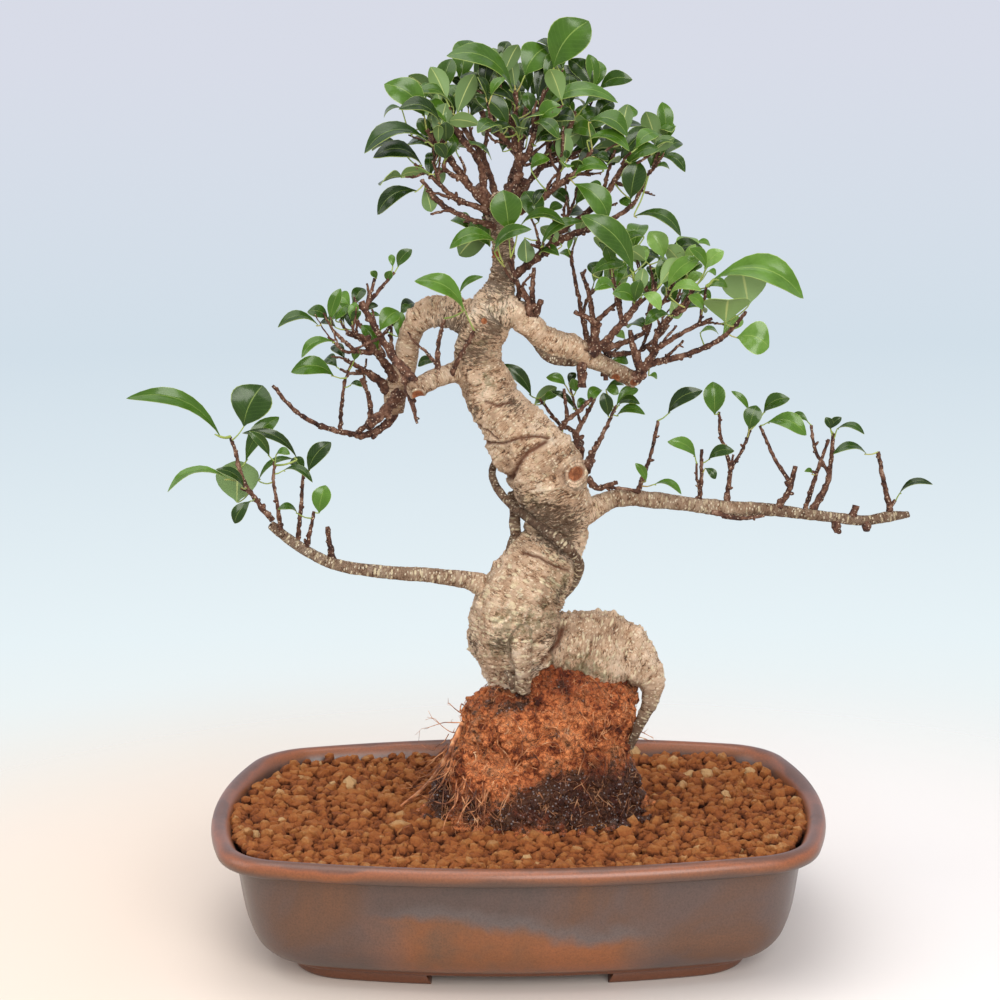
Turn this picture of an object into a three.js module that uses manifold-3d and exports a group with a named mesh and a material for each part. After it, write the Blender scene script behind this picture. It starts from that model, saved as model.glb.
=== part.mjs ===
// Ficus bonsai in its glazed pot, in millimetres, +Z up, seen from the front along +Y.
// Places are measured from the middle of the pot at the level of the table.
import * as THREE from 'three';
import Module from 'manifold-3d';

const wasm = await Module();
wasm.setup();

// Driving dimensions of the pot
const potHalfWidth = 180;
const potHalfDepth = 137;
const potHeight = 81;
const longSideRadius = 476;
const endRadius = 221;
const cornerRadius = 42;
const smallestCorner = 14;
const endSteps = 2;
const cornerSteps = 3;
const sideSteps = 3;
const footHeight = 8;
const footInset = 42;
const footWidth = 15;
const footGapHalfWidth = 48;
const footGapHalfDepth = 34;
const floorHeight = 17;
const drainRadius = 10;
const drainSides = 12;
const drainOffset = 72;

// Driving dimensions of the soil and the root ball
const seatGap = 0.35;
const soilGap = 0.5;
const soilLevel = 70.5;
const soilMound = 2.5;
const granuleRelief = 1.9;
const soilRings = 10;
const ballMiddle = [12, 1];
const ballHalfWidth = 56;
const ballHalfDepth = 41;
const ballSides = 17;
const holeFloor = 40;
const screenSize = 34;
const screenThickness = 1.2;
const screenBars = 3;

// Driving dimensions of the wood and the leaves
const trunkStep = 16;
const rootStep = 15;
const heavyStep = 21;
const lightStep = 32;
const twigStep = 22;
const trunkSides = 9;
const rootSides = 7;
const heavySides = 5;
const lightSides = 4;
const twigSides = 3;
const petioleRadius = 0.7;
const stalkSpacing = 2.4;
const leafThickness = 0.72;
const leafArch = 0.08;
const leafDroop = 0.17;
const leafFold = 0.28;
const leafMargin = 0.7;
const smallLeafLength = 24;
const bendSteps = [0, 3, -3, 6, -6, 9, -9, 13, -13, 17, -17];

const colours = {
  pot: new THREE.MeshStandardMaterial({ color: 0x6d5048, roughness: 0.4, metalness: 0 }),
  screen: new THREE.MeshStandardMaterial({ color: 0x2b2d2c, roughness: 0.6, metalness: 0 }),
  soil: new THREE.MeshStandardMaterial({ color: 0x8a5a34, roughness: 0.95, metalness: 0 }),
  peat: new THREE.MeshStandardMaterial({ color: 0x8b4420, roughness: 1, metalness: 0 }),
  bark: new THREE.MeshStandardMaterial({ color: 0x9c8873, roughness: 0.85, metalness: 0 }),
  leaf: new THREE.MeshStandardMaterial({ color: 0x3f7a2c, roughness: 0.35, metalness: 0 }),
};

// Solids and meshes
function solidOf(points, triangles) {
  const vertProperties = new Float32Array(points.length * 3);
  points.forEach((point, index) => point.toArray(vertProperties, index * 3));
  return new wasm.Manifold(new wasm.Mesh({
    numProp: 3,
    vertProperties,
    triVerts: new Uint32Array(triangles),
  }));
}

function joined(solids) {
  return solids.reduce((whole, next) => whole.add(next));
}

// The one largest body of a solid, with sealed hollows filled and loose scraps dropped
function mainBody(solid) {
  const bodies = solid.decompose();
  return bodies.reduce((best, body) => (body.volume() > best.volume() ? body : best));
}

function meshOf(solid, name, material) {
  const { vertProperties, triVerts } = solid.getMesh();
  const geometry = new THREE.BufferGeometry();
  geometry.setAttribute('position', new THREE.BufferAttribute(vertProperties, 3));
  geometry.setIndex(new THREE.BufferAttribute(triVerts, 1));
  const mesh = new THREE.Mesh(geometry, material);
  mesh.name = name;
  return mesh;
}

// Skins a row of closed rings that all have the same number of points, and closes both ends
function skin(rings) {
  const count = rings[0].length;
  const points = rings.flat();
  const triangles = [];
  for (let ring = 0; ring + 1 < rings.length; ring += 1) {
    for (let index = 0; index < count; index += 1) {
      const next = (index + 1) % count;
      const a = ring * count + index;
      const b = ring * count + next;
      triangles.push(a, b, b + count, a, b + count, a + count);
    }
  }
  const lastRing = (rings.length - 1) * count;
  for (let index = 1; index + 1 < count; index += 1) {
    triangles.push(0, index + 1, index, lastRing, lastRing + index, lastRing + index + 1);
  }
  return solidOf(points, triangles);
}

// Outline of the pot drawn in by an inset: bowed long sides, bowed ends and round corners
function potOutline(inset) {
  const halfWidth = potHalfWidth - inset;
  const halfDepth = potHalfDepth - inset;
  const sideR = longSideRadius - inset;
  const endR = endRadius - inset;
  const cornerR = Math.max(cornerRadius - inset * 0.6, smallestCorner);
  const sideY = halfDepth - sideR;
  const endX = halfWidth - endR;
  // The corner's middle lies where two circles about the middles of the side and end arcs meet
  const reachSide = sideR - cornerR;
  const reachEnd = endR - cornerR;
  const apart = Math.hypot(endX, sideY);
  const along = (reachEnd ** 2 - reachSide ** 2 + apart ** 2) / (2 * apart);
  const aside = Math.sqrt(reachEnd ** 2 - along ** 2);
  const unitX = -endX / apart;
  const unitY = sideY / apart;
  const middleX = endX + unitX * along - unitY * aside;
  const middleY = unitY * along + unitX * aside;
  const endTurn = Math.atan2(middleY, middleX - endX);
  const sideTurn = Math.atan2(middleY - sideY, middleX);
  const quarter = [];
  const arc = (x, y, radius, from, to, steps) => {
    for (let step = 0; step < steps; step += 1) {
      const turn = from + ((to - from) * step) / steps;
      quarter.push([x + radius * Math.cos(turn), y + radius * Math.sin(turn)]);
    }
  };
  arc(endX, 0, endR, 0, endTurn, endSteps);
  arc(middleX, middleY, cornerR, endTurn, sideTurn, cornerSteps);
  arc(0, sideY, sideR, sideTurn, Math.PI / 2, sideSteps);
  const second = quarter.slice(1).reverse().map(([x, y]) => [-x, y]);
  const top = [...quarter, [0, halfDepth], ...second];
  const bottom = [...top].map(([x, y]) => [-x, -y]);
  return [...top, ...bottom];
}

function potRing(inset, height) {
  return potOutline(inset).map(([x, y]) => new THREE.Vector3(x, y, height));
}

function roundRing(x, y, halfWidth, halfDepth, height, sides) {
  return Array.from({ length: sides }, (_, index) => {
    const turn = (index / sides) * Math.PI * 2;
    return new THREE.Vector3(x + halfWidth * Math.cos(turn), y + halfDepth * Math.sin(turn), height);
  });
}

function block(x0, y0, z0, x1, y1, z1) {
  const ring = (z) => [[x0, y0], [x1, y0], [x1, y1], [x0, y1]]
    .map(([x, y]) => new THREE.Vector3(x, y, z));
  return skin([ring(z0), ring(z1)]);
}

// Pot: one fired piece with a rolled lip, a small step at its base, four corner feet and drain holes
const potProfile = [
  [40, footHeight - 1.6],
  [38.5, footHeight + 1.6],
  [35, footHeight + 2],
  [29, 13],
  [21.5, 22],
  [18, 33],
  [16, 48],
  [12, 69.5],
  [3.5, 71],
  [0.6, 74],
  [3, 80.4],
  [6, potHeight],
  [9, 79.5],
  [12, 76],
  [22, 50],
  [28, 30],
  [38, 19.5],
  [52, floorHeight],
];
const soilProfile = [
  [53, floorHeight + screenThickness + 2 * soilGap],
  [41, 21],
  [29.4, 30.4],
  [23.2, 50],
  [18, 69],
];

function makePot() {
  const body = skin(potProfile.map(([inset, height]) => potRing(inset, height)));
  const outer = skin([potRing(footInset, 0), potRing(footInset - 3, footHeight)]);
  const low = -1;
  const high = footHeight + 1;
  const inner = skin([potRing(footInset + footWidth, low), potRing(footInset + footWidth, high)]);
  const across = block(-footGapHalfWidth, -potHalfDepth, low, footGapHalfWidth, potHalfDepth, high);
  const along = block(-potHalfWidth, -footGapHalfDepth, low, potHalfWidth, footGapHalfDepth, high);
  const feet = outer.subtract(inner).subtract(across).subtract(along);
  const drains = [-drainOffset, drainOffset].map((x) => skin([
    roundRing(x, 0, drainRadius, drainRadius, 0, drainSides),
    roundRing(x, 0, drainRadius, drainRadius, floorHeight + 5, drainSides),
  ]));
  return body.add(feet).subtract(joined(drains));
}

// Drainage screen: a square of plastic mesh on the pot's floor over a drain hole
function makeScreen(x) {
  const half = screenSize / 2;
  const low = floorHeight + seatGap;
  const high = low + screenThickness;
  const pitch = screenSize / screenBars;
  const holes = [];
  for (let column = 0; column < screenBars; column += 1) {
    for (let row = 0; row < screenBars; row += 1) {
      const left = x - half + pitch * (column + 0.25);
      const front = -half + pitch * (row + 0.25);
      holes.push(block(left, front, low - 1, left + pitch / 2, front + pitch / 2, high + 1));
    }
  }
  return block(x - half, -half, low, x + half, half, high).subtract(joined(holes));
}

// Soil: baked clay granules that fill the pot, as relief on its top, with a plain hole for the roots
function soilHeight(x, y, ring, index) {
  const mound = soilMound * Math.exp(-((x / 95) ** 2) - ((y / 70) ** 2));
  const lump = (ring + index) % 2 === 0 ? 1 : -0.6;
  const uneven = Math.sin(x * 0.61 + y * 0.23) * Math.cos(y * 0.57 - x * 0.19);
  return soilLevel + mound + granuleRelief * (lump * 0.7 + uneven * 0.5);
}

function makeSoil() {
  const rings = soilProfile.map(([inset, height]) => potRing(inset, height));
  const edge = potOutline(18.6);
  for (let ring = 0; ring < soilRings; ring += 1) {
    const share = 1 - ring / soilRings;
    rings.push(edge.map(([x, y], index) => {
      const px = x * share;
      const py = y * share;
      return new THREE.Vector3(px, py, soilHeight(px, py, ring, index));
    }));
  }
  const [x, y] = ballMiddle;
  const hole = skin([holeFloor, potHeight + 20].map((height) => roundRing(
    x, y, ballHalfWidth + soilGap, ballHalfDepth + soilGap, height, ballSides)));
  return mainBody(skin(rings).subtract(hole));
}

// Rings of the root ball: height, middle x, middle y, half width, half depth
const ballRings = [
  [82, 13, 0, 60, 44],
  [92, 13, 1, 61, 42],
  [104, 13, 1, 59, 40],
  [118, 16, 2, 55, 38],
  [131, 18, 2, 54, 37],
  [142, 20, 3, 52, 36],
  [149, 23, 4, 46, 33],
  [156, 26, 4, 39, 28],
  [162, 27, 4, 29, 20],
  [165, 28, 4, 13, 9],
];

// Root ball: old peat held by fine roots, standing in the soil and rising round the trunk's foot
function makeRootBall(grownWood) {
  const [x, y] = ballMiddle;
  const plug = [holeFloor + seatGap, 78].map((height) => roundRing(
    x, y, ballHalfWidth, ballHalfDepth, height, ballSides));
  const lumps = ballRings.map(([height, mx, my, halfWidth, halfDepth], ring) => (
    roundRing(mx, my, halfWidth, halfDepth, height, ballSides).map((point, index) => {
      const turn = (index / ballSides) * Math.PI * 2;
      const wave = 0.045 * Math.sin(turn * 5 + height * 0.11) + 0.035 * Math.cos(turn * 9 - height * 0.17);
      const lump = 1 + wave;
      const broken = (index + ring) % 2 === 0 ? 1.02 : 0.985;
      return new THREE.Vector3(
        mx + (point.x - mx) * lump * broken,
        my + (point.y - my) * lump * broken,
        height + (ring > 5 ? 1.2 * Math.sin(turn * 7 + ring) : 0),
      );
    })
  ));
  const strand = limb(strayRoot, twigSides, 0, twigStep);
  return mainBody(skin([...plug, ...lumps]).add(strand).subtract(grownWood));
}

// Line of the trunk from its foot in the root ball up to the crown: x, y, z and radius
const trunkLine = [
  [0, 4, 144, 10.6], [-1, 2, 157, 17], [-1, 0, 170, 25.2], [-1, -2, 186, 27.1], [1, -3, 199, 25.6],
  [6, -1, 211, 20.9], [13, 3, 222, 18.6], [21, 6, 233, 16.3], [24, 6, 245, 17.8], [24, 3, 259, 19.7],
  [20, -1, 271, 22.2], [15, -4, 283, 21.9], [5, -3, 294, 19.3], [-5, 0, 306, 16.4], [-12, 2, 316, 15],
  [-16, 3, 327, 15], [-20, 3, 338, 13.8], [-20, 2, 349, 13.2], [-16, 0, 360, 13.1],
  [-11, 0, 371, 11.4], [-7, 2, 381, 8], [-5, 3, 392, 6.3], [-5, 4, 404, 5.7], [-6, 4, 416, 5.7],
  [-8, 4, 426, 7.4], [-10, 4, 434, 6.8],
];

// The thick root on the right that rises from the ball and turns back down into it
const rightRoot = [
  [17, 2, 176, 15.2], [35, 2, 173, 19.3], [51, 2, 169, 22], [65, 0, 166, 18.1], [74, -2, 159, 11.7],
  [79, -4, 150, 7], [78, -5, 141, 5.3], [74, -5, 131, 3.8], [70, -5, 122, 2.9], [66, -3, 111, 2.4],
];

// A long fine root that lies out over the soil
const strayRoot = [
  [-32, -4, 127, 1.6], [-36, -12, 121, 1.5], [-40, -14, 112, 1.3], [-45, -12, 103, 1.2],
  [-53, -9, 92, 1.1], [-61, -6, 84, 0.9], [-69, -2, 77, 0.7],
];

// Heavy limbs and roots, part of the same grown wood
const heavyLimbs = {
  scarStub: [[24, 0, 272, 11], [33, -16, 274, 9.7], [35, -24, 276, 6.8]],
  lowLeft: [
    [-6, -6, 203, 9.3], [-16, -8, 209, 7.5], [-28, -9, 214, 5.2], [-39, -10, 216, 4.4],
    [-53, -11, 218, 4.3], [-67, -12, 219, 4], [-82, -13, 221, 3.7], [-95, -14, 223, 3.5],
    [-108, -15, 227, 3.4], [-119, -16, 233, 3.2], [-130, -17, 241, 3.1], [-140, -18, 250, 2.6],
  ],
  lowRight: [
    [35, 6, 251, 10.5], [45, 9, 253, 7], [54, 11, 257, 5.5], [64, 12, 258, 5], [83, 14, 256, 4.6],
    [104, 16, 253, 4.3], [126, 18, 250, 4.8], [147, 20, 249, 4], [169, 22, 246, 3.4],
    [190, 24, 243, 3.2], [207, 25, 241, 3.1], [220, 26, 243, 3.2], [233, 27, 244, 2.1],
  ],
  rightLimb: [
    [-10, -2, 369, 10.8], [1, -4, 368, 8.5], [8, -5, 362, 7.1], [16, -4, 355, 6.8], [24, -2, 350, 7.7],
    [34, 0, 347, 7.7], [43, 2, 342, 6.6], [52, 4, 337, 4.9], [61, 6, 332, 4.8], [71, 8, 327, 5.4],
  ],
  leftArch: [
    [-19, 3, 361, 11.5], [-29, 6, 366, 9.8], [-39, 9, 368, 9.5], [-48, 12, 367, 8.6],
    [-56, 15, 361, 7.2], [-60, 17, 352, 6.4], [-62, 18, 342, 6.7], [-65, 18, 331, 7],
    [-69, 17, 322, 7], [-70, 16, 314, 6.1], [-69, 16, 308, 4.7],
  ],
  leftStub: [
    [-26, -6, 335, 7.4], [-35, -12, 334, 6], [-44, -17, 332, 5.7], [-53, -20, 328, 5.4],
    [-58, -22, 326, 4.8],
  ],
  frontRoot: [
    [4, -22, 192, 5.7], [3, -27, 183, 6.3], [3, -29, 171, 6], [4, -29, 162, 4.9], [4, -27, 151, 3.5],
  ],
};

// Lighter branches and bare twigs of the same wood
const lightLimbs = {
  wrap: [
    [-8, 14, 285, 2.1], [-13, 8, 276, 2.4], [-11, 0, 268, 2.5], [-3, -4, 259, 2.6], [10, -8, 249, 2.6],
    [21, -14, 242, 2.6], [30, -11, 235, 2.6], [37, -5, 226, 2.7], [39, 1, 218, 2.7], [36, 5, 210, 2.6],
    [28, 6, 202, 2.5], [21, 4, 198, 2.3],
  ],
  backRoot: [[-2, 8, 263, 2.6], [0, 4, 254, 3.2], [0, 2, 243, 3.3], [2, 0, 231, 3.2], [4, 0, 224, 2.9]],
  backFork: [[0, 2, 241, 1.7], [-3, 0, 235, 1.5], [-5, -2, 227, 1.4], [-4, -2, 221, 1.4]],
  smallRoot: [[-8, -20, 164, 1.7], [-4, -26, 162, 1.7], [-3, -28, 157, 1.6], [-2, -27, 151, 1.4]],
  loop: [
    [13, -2, 353, 3.4], [16, -4, 346, 2.3], [20, -5, 342, 2.4], [28, -4, 340, 2.6], [35, 0, 340, 3.4],
  ],
  stubDown: [[40, 0, 343, 4.6], [39, -2, 335, 3.7], [39, -3, 325, 3]],
  stubLow: [[52, 6, 335, 2.3], [53, 4, 328, 1.7]],
  crownLeft: [[-11, 2, 426, 5.1], [-15, 0, 433, 4.5], [-19, -2, 440, 3.4]],
  crownMid: [[-7, 4, 429, 5.1], [0, 2, 436, 4.5], [8, 0, 443, 3.7]],
  crownRight: [
    [-4, 4, 385, 4], [4, 2, 391, 3.2], [11, -1, 397, 3], [20, -4, 404, 2.8], [29, -6, 410, 2.7],
    [39, -6, 414, 2.5], [50, -4, 417, 2.3], [59, -2, 422, 1.9], [67, 0, 427, 1.6], [73, 3, 436, 1.2],
    [78, 5, 446, 1.1],
  ],
  crownA: [[-9, 0, 417, 4], [-18, -3, 420, 2.8], [-26, -6, 422, 2.3]],
  crownB: [[-11, 0, 425, 6], [-19, -3, 428, 4], [-28, -6, 431, 2.7]],
  crownC: [[-11, 0, 428, 7], [-18, -2, 433, 5], [-25, -6, 441, 3.6]],
  crownD: [[-9, 0, 428, 7], [-15, -2, 435, 5], [-16, -3, 442, 3.6]],
  crownE: [[-8, 2, 428, 6], [-10, 8, 437, 4.6], [-12, 12, 445, 3.2]],
  crownG: [[-7, 0, 427, 8], [-1, -3, 435, 5.6], [4, -4, 445, 4]],
  crownI: [[-7, 4, 428, 7], [-2, 12, 438, 5], [1, 18, 447, 3.4]],
  crownL: [[-6, 2, 427, 7], [5, 4, 436, 5], [13, 8, 445, 3.2]],
  crownK: [[-5, -2, 424, 6], [6, -6, 426, 4], [15, -9, 431, 3]],
  crownM: [[18, -2, 401, 4.6], [27, 2, 413, 3.4], [41, 4, 423, 2.8]],
  stub1: [[12, -6, 363, 3.4], [11, -7, 376, 2], [12, -8, 394, 1.4]],
  stub2: [[10, -8, 365, 3], [8, -11, 376, 2.3], [5, -13, 383, 1.9]],
  stub3: [[12, -8, 365, 2.6], [16, -10, 376, 2.1]],
  hub: [[44, 0, 346, 6], [47, -2, 355, 4.6], [48, -3, 362, 3.6]],
  riser: [[45, -4, 345, 6], [53, -8, 352, 4.6], [62, -10, 363, 3.4]],
  riserB: [[51, 4, 346, 4], [65, 6, 350, 3], [76, 8, 355, 2.4]],
  tipRiser: [[69, 6, 328, 7], [76, 5, 336, 5.4], [82, 4, 345, 4.2]],
  tipFork: [[73, 6, 334, 4.6], [69, 4, 346, 3.6], [67, 2, 357, 2.6]],
  bare1: [[49, -4, 360, 2.6], [43, -8, 365, 1.9], [35, -12, 369, 1.6]],
  bare2: [[46, -2, 354, 2.6], [44, -4, 375, 1.8], [39, -6, 391, 1.4]],
  mass: [[-67, 14, 326, 6], [-75, 8, 340, 5], [-81, 2, 348, 4.2]],
  massLow: [[-69, 16, 316, 5], [-76, 14, 326, 3.6], [-84, 10, 333, 2.8]],
  mainRed: [[-53, -18, 328, 4.2], [-62, -13, 337, 3.6], [-70, -9, 346, 3.1]],
  massBack: [[-67, 20, 332, 4], [-71, 24, 347, 2.6], [-71, 24, 358, 2]],
  spike: [[-62, -12, 334, 3.4], [-58, -16, 319, 2.3], [-55, -18, 307, 0.9]],
  lowBranch: [[-69, 16, 313, 5], [-72, 14, 305, 3.3], [-80, 12, 299, 2.9], [-90, 10, 296, 2.5]],
  wlStub: [[-105, -12, 226, 3], [-107, -12, 238, 1.9], [-108, -12, 247, 1.8]],
  burr1: [[189, 24, 241, 4.2], [190, 23, 234, 2.4]],
  burr2: [[199, 24, 244, 3.6], [201, 24, 250, 2.4]],
  burr3: [[207, 25, 241, 3.6], [207, 22, 235, 3.2]],
  underSpur: [[115, 14, 249, 2.4], [130, 13, 245, 1.6], [146, 15, 246, 1.2]],
  backPillar: [[37, 6, 286, 4.6], [37, 14, 292, 3], [35, 18, 296, 2.1]],
  bare3: [[21, 4, 296, 2.4], [30, 8, 304, 1.8], [30, 8, 313, 1.3], [29, 8, 323, 1.1]],
  lowStub: [[-65, 10, 322, 5], [-74, 6, 312, 3.8], [-84, 2, 303, 3.2]],
  bare4: [[28, 6, 303, 1.8], [37, 4, 310, 1.7], [45, 2, 318, 1.5]],
  bare5: [[48, -3, 363, 2], [55, -6, 370, 1.5], [61, -8, 375, 1.2]],
  sideShoot: [[42, -2, 272, 3], [48, -2, 266, 2.2], [53, -4, 268, 1.8], [59, -6, 270, 1.6]],
  sideThread: [[51, -3, 267, 1.6], [62, 3, 265, 1.1], [73, 9, 262, 1.6]],
  backPillar2: [[41, 8, 275, 5], [44, 15, 281, 2.9]],
};

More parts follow.
